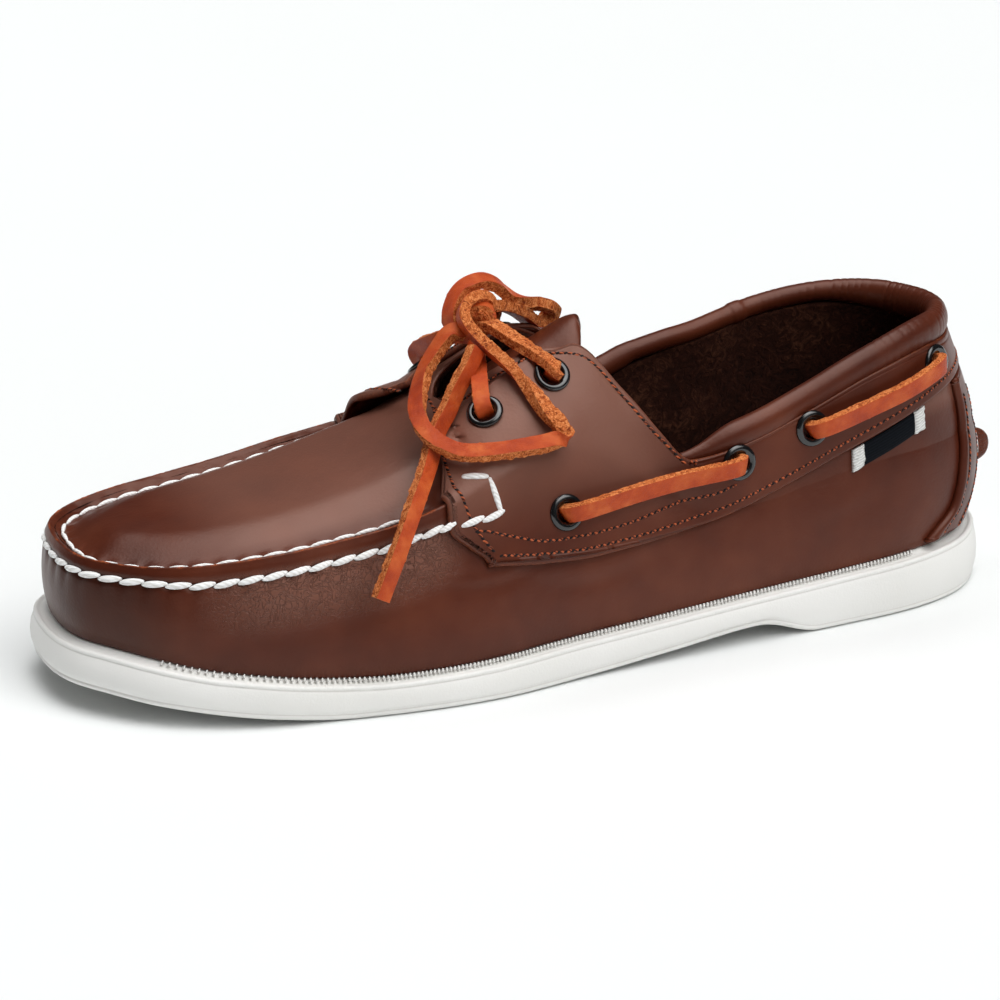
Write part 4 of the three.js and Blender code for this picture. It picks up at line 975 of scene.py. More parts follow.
# ---- pieces that repeat along a row -----------------------------------------------------------
def repeated(name, guides, shape, sizes, material, sway=0.0, seed=1):
    """Sets one small shape on each guide point. Its X goes along the row and its Z goes up."""
    points, along, up = guides
    tree = bpy.data.node_groups.new(name, "GeometryNodeTree")
    tree.interface.new_socket(name="Guides", in_out="INPUT", socket_type="NodeSocketGeometry")
    values = {**sizes, "Sway": sway}
    for label in values:
        tree.interface.new_socket(name=label, in_out="INPUT", socket_type="NodeSocketFloat")
    tree.interface.new_socket(name="Seed", in_out="INPUT", socket_type="NodeSocketInt")
    tree.interface.new_socket(name="Pieces", in_out="OUTPUT", socket_type="NodeSocketGeometry")
    given = add(tree, "NodeGroupInput").outputs
    part = shape(tree, given)
    axes = {}
    for key in ("along", "up"):
        read_out = add(tree, "GeometryNodeInputNamedAttribute", {"Name": key}, data_type="FLOAT_VECTOR")
        axes[key] = read_out.outputs["Attribute"]
    turn = add(tree, "FunctionNodeAxesToRotation", {0: axes["up"], 1: axes["along"]},
               primary_axis="Z", secondary_axis="X").outputs[0]
    least = calc(tree, "MULTIPLY", given["Sway"], -1.0)
    swing = add(tree, "FunctionNodeRandomValue", {2: least, 3: given["Sway"], "Seed": given["Seed"]},
                data_type="FLOAT").outputs[1]
    swing = add(tree, "ShaderNodeCombineXYZ", {"Z": swing}).outputs[0]
    swing = add(tree, "FunctionNodeEulerToRotation", {0: swing}).outputs[0]
    turn = add(tree, "FunctionNodeRotateRotation", {0: turn, 1: swing}, rotation_space="LOCAL").outputs[0]
    inputs = {"Points": given["Guides"], "Instance": part, "Rotation": turn}
    made = add(tree, "GeometryNodeInstanceOnPoints", inputs).outputs[0]
    made = add(tree, "GeometryNodeRealizeInstances", {"Geometry": made}).outputs[0]
    made = add(tree, "GeometryNodeSetMaterial", {"Geometry": made, "Material": material}).outputs[0]
    tree.links.new(made, add(tree, "NodeGroupOutput").inputs["Pieces"])

    mesh = bpy.data.meshes.new(name + "_guides")
    mesh.from_pydata((np.asarray(points) * MM).tolist(), [], [])
    for key, vectors in (("along", along), ("up", up)):
        layer = mesh.attributes.new(key, "FLOAT_VECTOR", "POINT")
        layer.data.foreach_set("vector", np.asarray(vectors, np.float32).ravel())
    holder = bpy.data.objects.new(name + "_guides", mesh)
    bpy.context.scene.collection.objects.link(holder)
    modifier = holder.modifiers.new(name, "NODES")
    modifier.node_group = tree
    for socket in tree.interface.items_tree:
        if socket.name in values:
            modifier[socket.identifier] = float(values[socket.name])
        if socket.name == "Seed":
            modifier[socket.identifier] = seed
    ready = holder.evaluated_get(bpy.context.evaluated_depsgraph_get())
    piece = bpy.data.objects.new(name, bpy.data.meshes.new_from_object(ready))
    bpy.context.scene.collection.objects.link(piece)
    bpy.data.objects.remove(holder)
    for key in ("along", "up"):
        if key in piece.data.attributes:
            piece.data.attributes.remove(piece.data.attributes[key])
    piece.data.shade_smooth()
    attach(piece, "root")
    return piece


def stitch_shape(tree, given):
    """A stitch: a pointed bow of thread whose two ends dip into their holes."""
    ball = add(tree, "GeometryNodeMeshUVSphere", {"Segments": 7, "Rings": 7, "Radius": 0.5})
    ball = add(tree, "GeometryNodeTransform", {"Geometry": ball.outputs[0], "Rotation": (0, math.pi / 2, 0)})
    scale = {"X": given["Length"], "Y": given["Width"], "Z": given["Height"]}
    size = add(tree, "ShaderNodeCombineXYZ", scale)
    ball = add(tree, "GeometryNodeTransform", {"Geometry": ball.outputs[0], "Scale": size.outputs[0]})
    place = add(tree, "ShaderNodeSeparateXYZ", {0: add(tree, "GeometryNodeInputPosition").outputs[0]})
    share = calc(tree, "DIVIDE", place.outputs["X"], given["Length"])
    dip = calc(tree, "MULTIPLY", calc(tree, "MULTIPLY", share, share), given["Dip"])
    slant = calc(tree, "MULTIPLY", share, given["Slant"])
    shift = add(tree, "ShaderNodeCombineXYZ", {"Y": slant, "Z": calc(tree, "MULTIPLY", dip, -4.0)})
    inputs = {"Geometry": ball.outputs[0], "Offset": shift.outputs[0]}
    return add(tree, "GeometryNodeSetPosition", inputs).outputs[0]


def even_row(points, normals, pitch, start=0.5):
    """Guide points a pitch apart along a line, with the line's direction and the way up."""
    lengths = lengths_along(points)
    places = np.arange(start * pitch, lengths[-1] - 0.2 * pitch, pitch)
    ahead, behind = (points_at(places + step, lengths, points) for step in (0.5, -0.5))
    return points_at(places, lengths, points), unit(ahead - behind), unit(points_at(places, lengths, normals))


def row_of(angle, run, off, pitch, start=0.5):
    """Guides along a fine row of (angle, run) on the form, grown by off."""
    lift = off(angle, run) if callable(off) else off
    return even_row(grown(angle, run, lift), form_normal(angle, run), pitch, start)


def finer(rows, columns):
    """A table's rows read finely along it, between its first row and its last."""
    share = np.linspace(0, 1, len(rows[columns[0]]))
    fine = np.linspace(0, 1, 240)
    return [through(share, rows[name], fine) for name in columns]


def joined(*rows):
    return tuple(np.concatenate([row[k] for row in rows]) for k in range(3))


def eyelet_shape(tree, given):
    """A rolled flange round a hole, with the eyelet's barrel going down through the leather."""
    middle = calc(tree, "ADD", given["Outer"], given["Hole"])
    middle = calc(tree, "MULTIPLY", middle, 0.5)
    wide = calc(tree, "SUBTRACT", given["Outer"], given["Hole"])
    half = calc(tree, "MULTIPLY", wide, 0.5)
    ring = add(tree, "GeometryNodeCurvePrimitiveCircle", {"Resolution": 44, "Radius": middle}).outputs[0]
    section = add(tree, "GeometryNodeCurvePrimitiveCircle", {"Resolution": 14, "Radius": half}).outputs[0]
    flat = add(tree, "GeometryNodeTransform", {"Geometry": section, "Scale": (1, 0.72, 1)}).outputs[0]
    flange = add(tree, "GeometryNodeCurveToMesh", {"Curve": ring, "Profile Curve": flat}).outputs[0]
    inputs = {"Vertices": 44, "Radius": given["Hole"], "Depth": given["Barrel"]}
    barrel = add(tree, "GeometryNodeMeshCylinder", inputs, fill_type="NONE").outputs[0]
    down = calc(tree, "MULTIPLY", given["Barrel"], -0.5)
    down = add(tree, "ShaderNodeCombineXYZ", {"Z": down}).outputs[0]
    barrel = add(tree, "GeometryNodeTransform", {"Geometry": barrel, "Translation": down}).outputs[0]
    barrel = add(tree, "GeometryNodeFlipFaces", {"Mesh": barrel}).outputs[0]
    both = add(tree, "GeometryNodeJoinGeometry")
    tree.links.new(flange, both.inputs[0])
    tree.links.new(barrel, both.inputs[0])
    return both.outputs[0]


def set_eyelets():
    places = list(EYELET_PLACES.values())
    points = np.array([place["foot"] + place["normal"] * 0.15 for place in places])
    up = np.array([place["normal"] for place in places])
    along = unit(np.cross((0, 0, 1), up))
    sizes = {"Outer": EYELET_OUTER * MM, "Hole": (EYELET_HOLE - 0.1) * MM, "Barrel": 2.6 * MM}
    piece = repeated("eyelets_enamelled", (points, along, up), eyelet_shape, sizes, ENAMEL)
    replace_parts(piece, *["eyelet_" + name for name in EYELET_PLACES])


# ---- upper ------------------------------------------------------------------------------------
def seam_depth(angle):
    """How far below the ridge the seam runs: nearer to it round the toe."""
    return 4.5 + 1.25 * smooth((station_of(angle) + 136) / 24)


SEAM_PITCH = 7.0
APRON_SEAM_RUN = 0.6145


def half_stations(front_mm, back_mm, kept=()):
    """Angles from toe to heel, close together in front, where the seam puckers the leather."""
    fine = np.linspace(0, math.pi, 6001)
    x, y = outline(fine, LEDGE)
    steps = np.hypot(np.diff(x), np.diff(y))
    spacing = front_mm + (back_mm - front_mm) * smooth((x[1:] + 28) / 20)
    places = np.concatenate([[0], np.cumsum(steps / spacing)])
    count = int(round(places[-1]))
    angles = np.interp(np.linspace(0, places[-1], count + 1), places, fine)
    for station in kept:
        angles[np.argmin(abs(angles - angle_of(station)))] = angle_of(station)
    return angles


def ring_stations(*args, **kw):
    """Angles once round the shoe, the same on both sides."""
    half = half_stations(*args, **kw)
    return np.concatenate([-half[1:][::-1], half[:-1]])


def along_ridge(angles):
    """How far along the seam each station is, in stitches from the toe."""
    fine = np.linspace(0, math.pi, 1201)
    result = np.zeros(len(angles))
    for sign in (1, -1):
        points = form_point(sign * fine, np.full(len(fine), RIDGE_SHARE * 0.92))
        lengths = lengths_along(points)
        chosen = np.sign(angles) * sign >= 0
        result[chosen] = sign * np.interp(abs(angles[chosen]), fine, lengths) / SEAM_PITCH
    return result


# Creases that wear has set in the leather: station, run, how long it is along the shoe,
# how wide, how deep, its lean, and its side, 1 outer and -1 inner.
CREASES = table(("at", "run", "length", "width", "depth", "lean", "side"), (
    (-58, 0.40, 26, 3.2, 0.45, 0.10, 1), (-72, 0.34, 20, 2.6, 0.35, -0.12, 1),
    (-44, 0.33, 18, 2.6, 0.30, 0.15, 1), (-30, 0.24, 30, 4.0, 0.35, 0.05, 1),
    (-88, 0.44, 16, 2.4, 0.35, 0.20, 1), (-62, 0.40, 28, 3.2, 0.50, 0.10, -1),
    (-80, 0.36, 22, 2.6, 0.40, -0.10, -1), (-45, 0.30, 24, 3.0, 0.35, 0.10, -1),
    (5, 0.16, 34, 5.0, 0.40, 0.03, 1), (95, 0.30, 22, 5.5, 0.14, 0.30, 1),
    (100, 0.26, 20, 5.5, 0.16, 0.30, -1), (10, 0.18, 30, 5.0, 0.40, 0.03, -1),
))


def creases(points, angle):
    """The depth of all creases: a soft trough with a low ridge above it."""
    depth = np.zeros(points.shape[:2])
    for i in range(len(CREASES["at"])):
        row = {name: CREASES[name][i] for name in CREASES}
        at = float(angle_of(row["at"])) * row["side"]
        centre = form_point(at, row["run"])
        around = unit(form_point(at + 0.01 * row["side"], row["run"]) - centre)
        upward = unit(form_point(at, row["run"] + 0.01) - centre)
        away = points - centre
        s = away @ (around * math.cos(row["lean"]) + upward * math.sin(row["lean"]))
        t = away @ (upward * math.cos(row["lean"]) - around * math.sin(row["lean"]))
        t = t - 0.012 * s * s
        near = np.exp(-(2 * s / row["length"]) ** 2)
        trough = np.exp(-(2 * t / row["width"]) ** 2)
        ridge = 0.55 * np.exp(-(2 * (t - 0.75 * row["width"]) / row["width"]) ** 2)
        side = (np.sign(angle) == row["side"]) & (np.linalg.norm(away, axis=2) < 2 * row["length"])
        depth += np.where(side, row["depth"] * near * (ridge - trough), 0)
    return depth


def upper_runs():
    wall = np.concatenate([np.linspace(0, 0.44, 34)[:-1], np.linspace(0.44, RIDGE_SHARE, 23)])
    lip = RIDGE_SHARE + (1 - RIDGE_SHARE) * np.linspace(0, 0.16, 19)[1:]
    top = RIDGE_SHARE + (1 - RIDGE_SHARE) * np.linspace(0.16, 1, 26)[1:]
    return np.concatenate([wall, lip, top])


def under_saddle(angle, run):
    """1 where the saddle or the band covers the vamp, 0 a little outside their edges."""
    band = band_edge_run(angle)
    up = np.clip((run - band) / (1 - band), 0, 1)
    fronts = [read(rows, "share", up, "at") for rows in (OUTER_WING_FRONT, INNER_WING_FRONT)]
    behind = station_of(angle) - np.where(angle > 0, fronts[0], fronts[1])
    return smooth((behind + 1.2) / 1.2) * smooth((run - band + 0.018) / 0.018)


def set_upper():
    """Vamp and apron: the wall rises to a cut lip, and the apron lies sunk inside it."""
    angles, runs = ring_stations(1.0, 2.6, kept=(THROAT_X,)), upper_runs()
    angle, run = angles[:, None], runs[None, :]
    base = grown(angle, run)
    steps = np.linalg.norm(np.diff(form_point(angle, run), axis=1), axis=2)
    lengths = np.concatenate([np.zeros((len(angles), 1)), np.cumsum(steps, axis=1)], axis=1)
    ridge_column = int(np.argmin(abs(runs - RIDGE_SHARE)))
    from_ridge = lengths - lengths[:, ridge_column:ridge_column + 1]
    full = ridge_amount(base[:, ridge_column, 0])[:, None]
    phase = along_ridge(angles)[:, None]
    uneven = roughness_at(base, 11.0, 3.1)
    fine = roughness_at(base, 2.6, 7.7)

    below = from_ridge + seam_depth(angle)
    pull = 0.5 + 0.5 * np.cos(2 * math.pi * phase)
    channel = -0.55 * np.exp(-(below / 1.1) ** 2)
    holes = -0.35 * pull ** 2 * np.exp(-(below / 1.3) ** 2)
    tuck = np.where(below < 0, np.exp(below / 3.2), 0)
    puckers = -(0.55 + 0.7 * uneven) * pull ** 3 * tuck + 0.25 * (1 - pull) * tuck
    lip = 0.35 * np.exp(-((from_ridge + 2.6) / 1.8) ** 2)
    inside = smooth(from_ridge / 1.2) * (1 - smooth((from_ridge - 7.0) / 1.5))
    lip_wrinkles = inside * 0.3 * roughness_at(base * (0.35, 1.0, 1.0), 1.6, 12.0)
    scallop = 0.45 * pull * np.exp(-((from_ridge - 6.6) / 1.2) ** 2)
    relief = full * (channel + holes + puckers + lip + lip_wrinkles + scallop)
    crumpled = (smooth((-2.5 - from_ridge) / 4) * (1 - smooth((-12 - from_ridge) / 14))
                * smooth((base[..., 0] + 122) / 30) * full)
    relief += crumpled * (0.22 * uneven + 0.20 * fine) + creases(base, angle)
    relief += 0.10 * uneven * (1 - full)
    raw = full * np.exp(-((from_ridge - 0.2) / 0.34) ** 2) * smooth(0.45 + 2.2 * fine)
    relief += raw * 0.28 * roughness_at(base, 0.9, 5.5)
    covered = under_saddle(angle, run)
    relief = relief * (1 - covered) - 0.15 * covered
    outer = base + form_normal(angle, run) * relief[..., None]
    shut = is_closed(station_of(angles))
    outer[shut, -1] = base[shut, -1]

    inner_runs = np.linspace(1, 0, 14)[None, :]
    inner = grown(angle, inner_runs, -1.2)
    points = np.concatenate([outer, inner], axis=1)
    rows, columns = points.shape[:2]
    faces = grid_faces(rows, columns, closed_rows=True, closed_columns=True)
    top = len(runs) - 1
    dropped = set()
    for i in range(rows):
        if shut[i] and shut[(i + 1) % rows]:
            dropped.add(i * columns + top)
    faces = [face for k, face in enumerate(faces) if k not in dropped]
    blank = np.zeros(inner.shape[:2])
    # Painted highlight on the apron's top, where light from above falls, and the real pale waxy haze of the
    # gathered wall.
    highlight_and_haze = 0.36 * smooth((base[..., 0] + 118) / 30) * smooth((from_ridge - 8) / 6) + 0.45 * crumpled
    # Painted shade: the channel along the white seam and the front of the toe wall are darkened, where shade
    # falls.
    shaded = np.maximum(full * np.exp(-(below / 0.55) ** 2) * 0.5, 0.5 * smooth((-112 - base[..., 0]) / 28)
                        * smooth((-1 - from_ridge) / 3))
    numbers = {
        "highlight_haze": np.concatenate([np.clip(highlight_and_haze, 0, 1), blank], axis=1).ravel(),
        "cut": np.concatenate([raw, blank], axis=1).ravel(),
        "crumple": np.concatenate([crumpled, blank], axis=1).ravel(),
        "dark": np.concatenate([shaded, blank], axis=1).ravel(),
    }
    piece = make_piece("vamp_and_apron", points.reshape(-1, 3), faces, COWHIDE, numbers)
    settle(piece)
    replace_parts(piece, "upper")


def set_lining():
    """The brushed lining on the inside of the upper, up to the collar."""
    angles = ring_stations(2.2, 2.6, kept=(THROAT_X,))
    runs = np.linspace(0.02, 0.995, 46)
    angle, run = angles[:, None], runs[None, :]
    soft = 0.35 * roughness_at(form_point(angle, run), 14.0, 4.2)
    outer = grown(angle, run, -1.3)
    thicker = 0.9 * smooth((run - 0.75) / 0.2) * smooth((station_of(angle) - 50) / 20)
    inner = grown(angle, run, -2.4 + soft - thicker)
    outer[..., 2] += inner_rise(angle, run)
    inner[..., 2] += inner_rise(angle, run)
    piece = sheet_piece("lining", outer, inner, LINING, closed_rows=True)
    settle(piece)


# ---- saddle and collar band -------------------------------------------------------------------
EDGE_RUN = 0.992


def saddle_place(along, up):
    outer = along > 0
    front_angle, front_run = [], []
    for rows in (OUTER_WING_FRONT, INNER_WING_FRONT):
        front_angle.append(angle_of(read(rows, "share", up, "at")))
        front_run.append(read(rows, "share", up, "run"))
    corner = np.where(outer, front_angle[0], front_angle[1])
    angle = math.pi + (corner - math.pi) * abs(along)
    signed = np.where(outer, angle, -angle)
    band = band_edge_run(signed)
    side_run = band + (1 - band) * up
    near_front = smooth((abs(along) - 0.8) / 0.2) * smooth(up / 0.12)
    run = side_run + (np.where(outer, front_run[0], front_run[1]) - side_run) * near_front
    return signed, np.minimum(run, EDGE_RUN)


def edge_distance(points):
    """How far each point of a grid is from the nearest edge of the grid."""
    across = np.cumsum(np.linalg.norm(np.diff(points, axis=1, prepend=points[:, :1]), axis=2), axis=1)
    down = np.cumsum(np.linalg.norm(np.diff(points, axis=0, prepend=points[:1]), axis=2), axis=0)
    parts = (across, across[:, -1:] - across, down, down[-1:] - down)
    return np.minimum.reduce(parts)


def rounded(distance, thick, edge=1.0):
    """The thickness of a leather near its cut edge: the corner is rolled over."""
    t = np.clip(distance / edge, 0, 1)
    return thick * (0.55 + 0.45 * np.sqrt(1 - (1 - t) ** 2))


def graded(count, fine=0.004):
    """Shares from 0 to 1, closer together at both ends, so that a rolled edge keeps its shape."""
    middle = np.linspace(0, 1, count)
    edge = np.array([0, fine, 2.2 * fine, 4 * fine])
    return np.concatenate([edge, middle[1:-1], 1 - edge[::-1]])


def near_eyelets(points):
    """1 inside an eyelet's hole, fading out under its flange."""
    result = np.zeros(points.shape[:2])
    for place in EYELET_PLACES.values():
        away = points - place["foot"]
        height = away @ place["normal"]
        radius = np.sqrt(np.maximum(np.sum(away ** 2, axis=2) - height ** 2, 0))
        result = np.maximum(result, (1 - smooth((radius - 2.7) / 1.3)) * (abs(height) < 6))
    return result


def set_saddle():
    """The saddle wings and the collar band: one strap of leather round the shoe."""
    share = graded(470, 0.0012)
    along = (2 * share - 1)[:, None]
    up = graded(64, 0.004)[None, :]
    angle, run = saddle_place(along, up)
    lift = wing_lift(angle, run)
    middle = grown(angle, run, GAP + OVERLAY + lift)
    station = station_of(angle)
    reach = 2.2 * smooth((station - 2) / 8) * (1 - smooth((station - 24) / 12)) * smooth((up - 0.75) / 0.25)
    tangent = unit(form_point(angle, run) - form_point(angle, run - 0.01))
    distance = edge_distance(middle)
    soft = 0.10 * roughness_at(middle, 12.0, 8.8) + creases(middle, angle) * 0.3
    hole = near_eyelets(middle)
    pressed = -0.18 * np.exp(-((distance - 2.0) / 0.35) ** 2) * (up > 0.5)
    off = GAP + rounded(distance, OVERLAY) + lift + soft + pressed - 2.4 * hole
    outer = grown(angle, run, off) + tangent * reach[..., None]
    inner = grown(angle, run, 0.05 + lift - 0.3 * hole) + tangent * reach[..., None]
    outer[..., 2] += inner_rise(angle, run)
    inner[..., 2] += inner_rise(angle, run)
    cut = 1 - smooth((distance - 0.15) / 0.45)
    # Painted highlight: the fronts and tops of the wings are lightened, where light from above falls.
    highlight_and_haze = 0.5 * smooth((48 - station) / 34) * smooth((up - 0.02) / 0.5)
    # Painted shade: the sunk leather in each eyelet's hole is darkened, and a thin dark line along every cut
    # edge is partly the edge's real dye, partly painted shadow.
    shaded = np.maximum(hole, 0.25 * np.exp(-(distance / 0.6) ** 2))
    numbers = {"cut": (cut * 0.45, cut * 0), "dark": (shaded, hole), "highlight_haze": (highlight_and_haze, highlight_and_haze * 0)}
    piece = sheet_piece("saddle_and_band", outer, inner, COWHIDE, numbers)
    settle(piece)
    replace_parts(piece, "saddle")


# ---- heel stay --------------------------------------------------------------------------------
def set_heel_stay():
    """The stay up the back, over the seam of the vamp's two ends."""
    along = np.linspace(-1, 1, 90)[:, None]
    up = graded(60, 0.006)[None, :]
    top_run = run_at_height(math.pi, BAND_EDGE["z"][-1] - STAY_TOP_DROP)
    z = form_point(math.pi, 0.03 + (top_run - 0.03) * up)[..., 2]
    edge = angle_of(read(STAY_EDGE, "z", z, "at"))
    angle = (math.pi + (edge - math.pi) * abs(along)) * np.where(along < 0, -1, 1)
    top = band_edge_run(angle) - 0.012
    run = 0.03 + (top - 0.03) * up
    middle = grown(angle, run, GAP + STAY_THICK)
    distance = edge_distance(middle)
    sides = (1 - abs(along)) * np.linalg.norm(middle[0, 30] - middle[-1, 30]) / 2
    rolled = 0.7 * np.exp(-((sides - 1.3) / 1.0) ** 2)
    off = GAP + rounded(distance, STAY_THICK) + rolled + 0.08 * roughness_at(middle, 9.0, 2.2)
    outer, inner = grown(angle, run, off), grown(angle, run, 0.05)
    piece = sheet_piece("heel_stay_leather", outer, inner, COWHIDE)
    settle(piece)
    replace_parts(piece, "heel_stay")


# ---- collar roll ------------------------------------------------------------------------------
ROLL_START = 42.5
ROLL_HALF_WIDE = 3.6
ROLL_HALF_TALL = 4.7
ROLL_UP = 2.2                 # the roll's middle above the upper's edge
ROLL_STRAP_AT = 82
ROLL_BACK_UP = 1.0            # how much higher it stands at the heel
INNER_ROLL_HALF_TALL = 3.1
INNER_ROLL_UP = 5.0
OUTER_REACH = 5.5             # how far its two ends run on under the wings
INNER_REACH = 16.0
INNER_RISE = 3.0              # how far lining and band rise to meet the thinner inner roll


def inner_side(angle):
    """1 along the collar's inner side, where the roll is thin, fading out round the heel."""
    station = station_of(angle)
    return np.where(angle < 0, smooth((station - 36) / 10) * (1 - smooth((station - 108) / 34)), 0)


def inner_rise(angle, run):
    """How far up the leather at the collar's inner side goes, to meet the roll."""
    return INNER_RISE * inner_side(angle) * smooth((run - 0.7) / 0.3)


def swept(line, normals, wide, tall, count):
    """Rings of points round a line, wide across it and tall along the normals."""
    along = unit(np.gradient(line, axis=0))
    side = unit(np.cross(along, normals))
    up = np.cross(side, along)
    turn = np.linspace(0, 2 * math.pi, count, endpoint=False)[None, :]
    across = side[:, None, :] * (np.cos(turn) * wide)[..., None]
    return line[:, None, :] + across + up[:, None, :] * (np.sin(turn) * tall)[..., None]


def roll_line(count):
    """The roll's middle line. Its two ends run on straight, in under the wings."""
    half = np.linspace(float(angle_of(ROLL_START)), math.pi, count)
    angle = np.concatenate([half, -half[::-1][1:]])
    line = grown(angle, np.ones(len(angle)), -LEATHER / 2 - 0.3)
    thin = inner_side(angle)
    back = smooth((station_of(angle) - 70) / 60)
    up = ROLL_UP + ROLL_BACK_UP * back + (INNER_ROLL_UP - ROLL_UP) * thin
    front_rise = 1.6 * (angle < 0) * (1 - smooth((station_of(angle) - 44) / 26))
    line[:, 2] = form_point(angle, np.ones(len(angle)))[:, 2] + up + front_rise
    ends = []
    for first, second, reach in ((0, 4, OUTER_REACH), (-1, -5, INNER_REACH)):
        away = unit(line[first] - line[second])
        steps = np.linspace(reach, 0, 26, endpoint=False)[:, None]
        ends.append(line[first] + away * steps)
    line = np.concatenate([ends[0], line, ends[1][::-1]])
    angle = np.concatenate([np.full(26, angle[0]), angle, np.full(26, angle[-1])])
    return angle, line


def set_collar():
    """The padded roll on the collar, with wrinkles across it where it bends."""
    angle, line = roll_line(260)
    count = 36
    along = lengths_along(line)
    turn = np.linspace(0, 2 * math.pi, count, endpoint=False)[None, :]
    heading = np.unwrap(np.arctan2(np.gradient(line[:, 1]), np.gradient(line[:, 0])))
    bend = np.abs(np.gradient(heading, along))
    bend = np.convolve(np.pad(bend, 15, mode="edge"), np.ones(31) / 31, mode="valid")
    patchy = np.array([noise.noise((s / 16.0, 5, 0)) for s in along])[:, None]
    amount = (np.clip(bend / 0.03, 0, 1)[:, None] * 0.7 + 0.12) * (0.6 + 1.2 * np.clip(patchy, -0.4, 1))
    wobble = np.array([noise.noise((s / 9.0, 0, 0)) for s in along])[:, None]
    wave = np.cos(2 * math.pi * (along[:, None] / 3.1 + 1.6 * wobble + 0.12 * np.sin(turn)))
    wrinkle = -0.26 * amount * np.clip(wave, 0, 1) ** 2
    strap_at = (station_of(angle) - ROLL_STRAP_AT) / 2.3
    strap = 0.4 * (np.exp(-strap_at ** 6) * (angle < 0))[:, None]
    taper = 0.42 + 0.58 * smooth(np.minimum(along / 20.0, 1))[:, None]
    thin = inner_side(angle)[:, None]
    wide = (ROLL_HALF_WIDE - 0.7 * thin + wrinkle) * taper + strap
    half_tall = ROLL_HALF_TALL + 0.5 * smooth((station_of(angle) - 70) / 60)[:, None]
    half_tall = half_tall + (INNER_ROLL_HALF_TALL - half_tall) * thin
    tall = (half_tall + wrinkle) * taper + strap
    line[:, 2] -= (ROLL_HALF_TALL * (1 - taper[:, 0])) * 0.75
    up = np.tile((0.0, 0.0, 1.0), (len(line), 1))
    rings = swept(line, up, wide, tall, count)
    faces = grid_faces(len(line), count, closed_columns=True)
    faces += end_faces(len(line), count)
    piece = make_piece("collar_padding", rings.reshape(-1, 3), faces, COWHIDE)
    settle(piece)
    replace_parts(piece, "collar_roll")


# ---- tongue -----------------------------------------------------------------------------------
TONGUE_THICK = 2.8


def set_tongue():
    """The tongue: a smooth curved leather whose top stands above the wings."""
    x = graded(70, 0.004) * 60 - 42
    share = graded(48, 0.006) * 2 - 1
    top = read(TONGUE, "x", x, "top")[:, None]
    half = read(TONGUE, "x", x, "half")[:, None]
    narrowed = np.sqrt(1 - 0.9 * np.clip((x[:, None] - 4) / 14, 0, 1) ** 2)
    half = half * narrowed
    sag = read(TONGUE, "x", x, "sag")[:, None] * narrowed ** 2 + 3.0 * (1 - narrowed)
    across = share[None, :]
    z = top - sag * across ** 2
    points = np.stack([np.broadcast_to(x[:, None], z.shape), half * across, z], axis=2)
    distance = edge_distance(points)
    thick = rounded(distance, TONGUE_THICK, 1.4)
    outer, inner = points.copy(), points.copy()
    outer[..., 2] += (thick - TONGUE_THICK) / 2
    inner[..., 2] -= (thick + TONGUE_THICK) / 2
    cut = 1 - smooth((distance - 0.2) / 0.5)
    numbers = {"cut": (cut * 0.3, cut * 0)}
    piece = sheet_piece("tongue_leather", outer, inner, COWHIDE, numbers)
    settle(piece)
    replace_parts(piece, "tongue")


# ---- sole -------------------------------------------------------------------------------------
def rim_z(x):
    return read(RIM, "x", x, "z")


def underside_z(x):
    z = read(UNDERSIDE, "x", x, "z")
    return np.where(z < 0.03, 0, z)


# The outsole's side from the seat of the upper down to the tread: inset from the rim, a share of
# the height from the tread up to the rim, and millimetres added to it.
SOLE_SIDE = (
    (6.5, 1, 1.2), (4.9, 1, 1.25), (4.3, 1, 0.55), (3.6, 1, 0.15), (2.6, 1, 0.0), (2.0, 1, 0.0),
    (1.75, 1, 0.18), (1.45, 1, 0.45), (1.05, 1, 0.55), (0.65, 1, 0.48), (0.32, 1, 0.2),
    (0.18, 1, -0.2), (0.2, 1, -0.6), (0.34, 1, -0.85), (0.12, 1, -1.15), (-0.15, 0.88, -0.6),
    (-0.7, 0.7, 0), (-0.95, 0.5, 0), (-0.85, 0.32, 0.2), (-0.5, 0.18, 0.7), (-0.15, 0, 2.3),
    (0.05, 0, 1.95), (-0.12, 0, 1.7), (-0.05, 0, 1.1), (0.35, 0, 0.55), (1.1, 0, 0.15), (2.4, 0, 0.0),
)

SOLE_GROOVES = (13, 21)         # the rows of SOLE_SIDE that lie in a groove


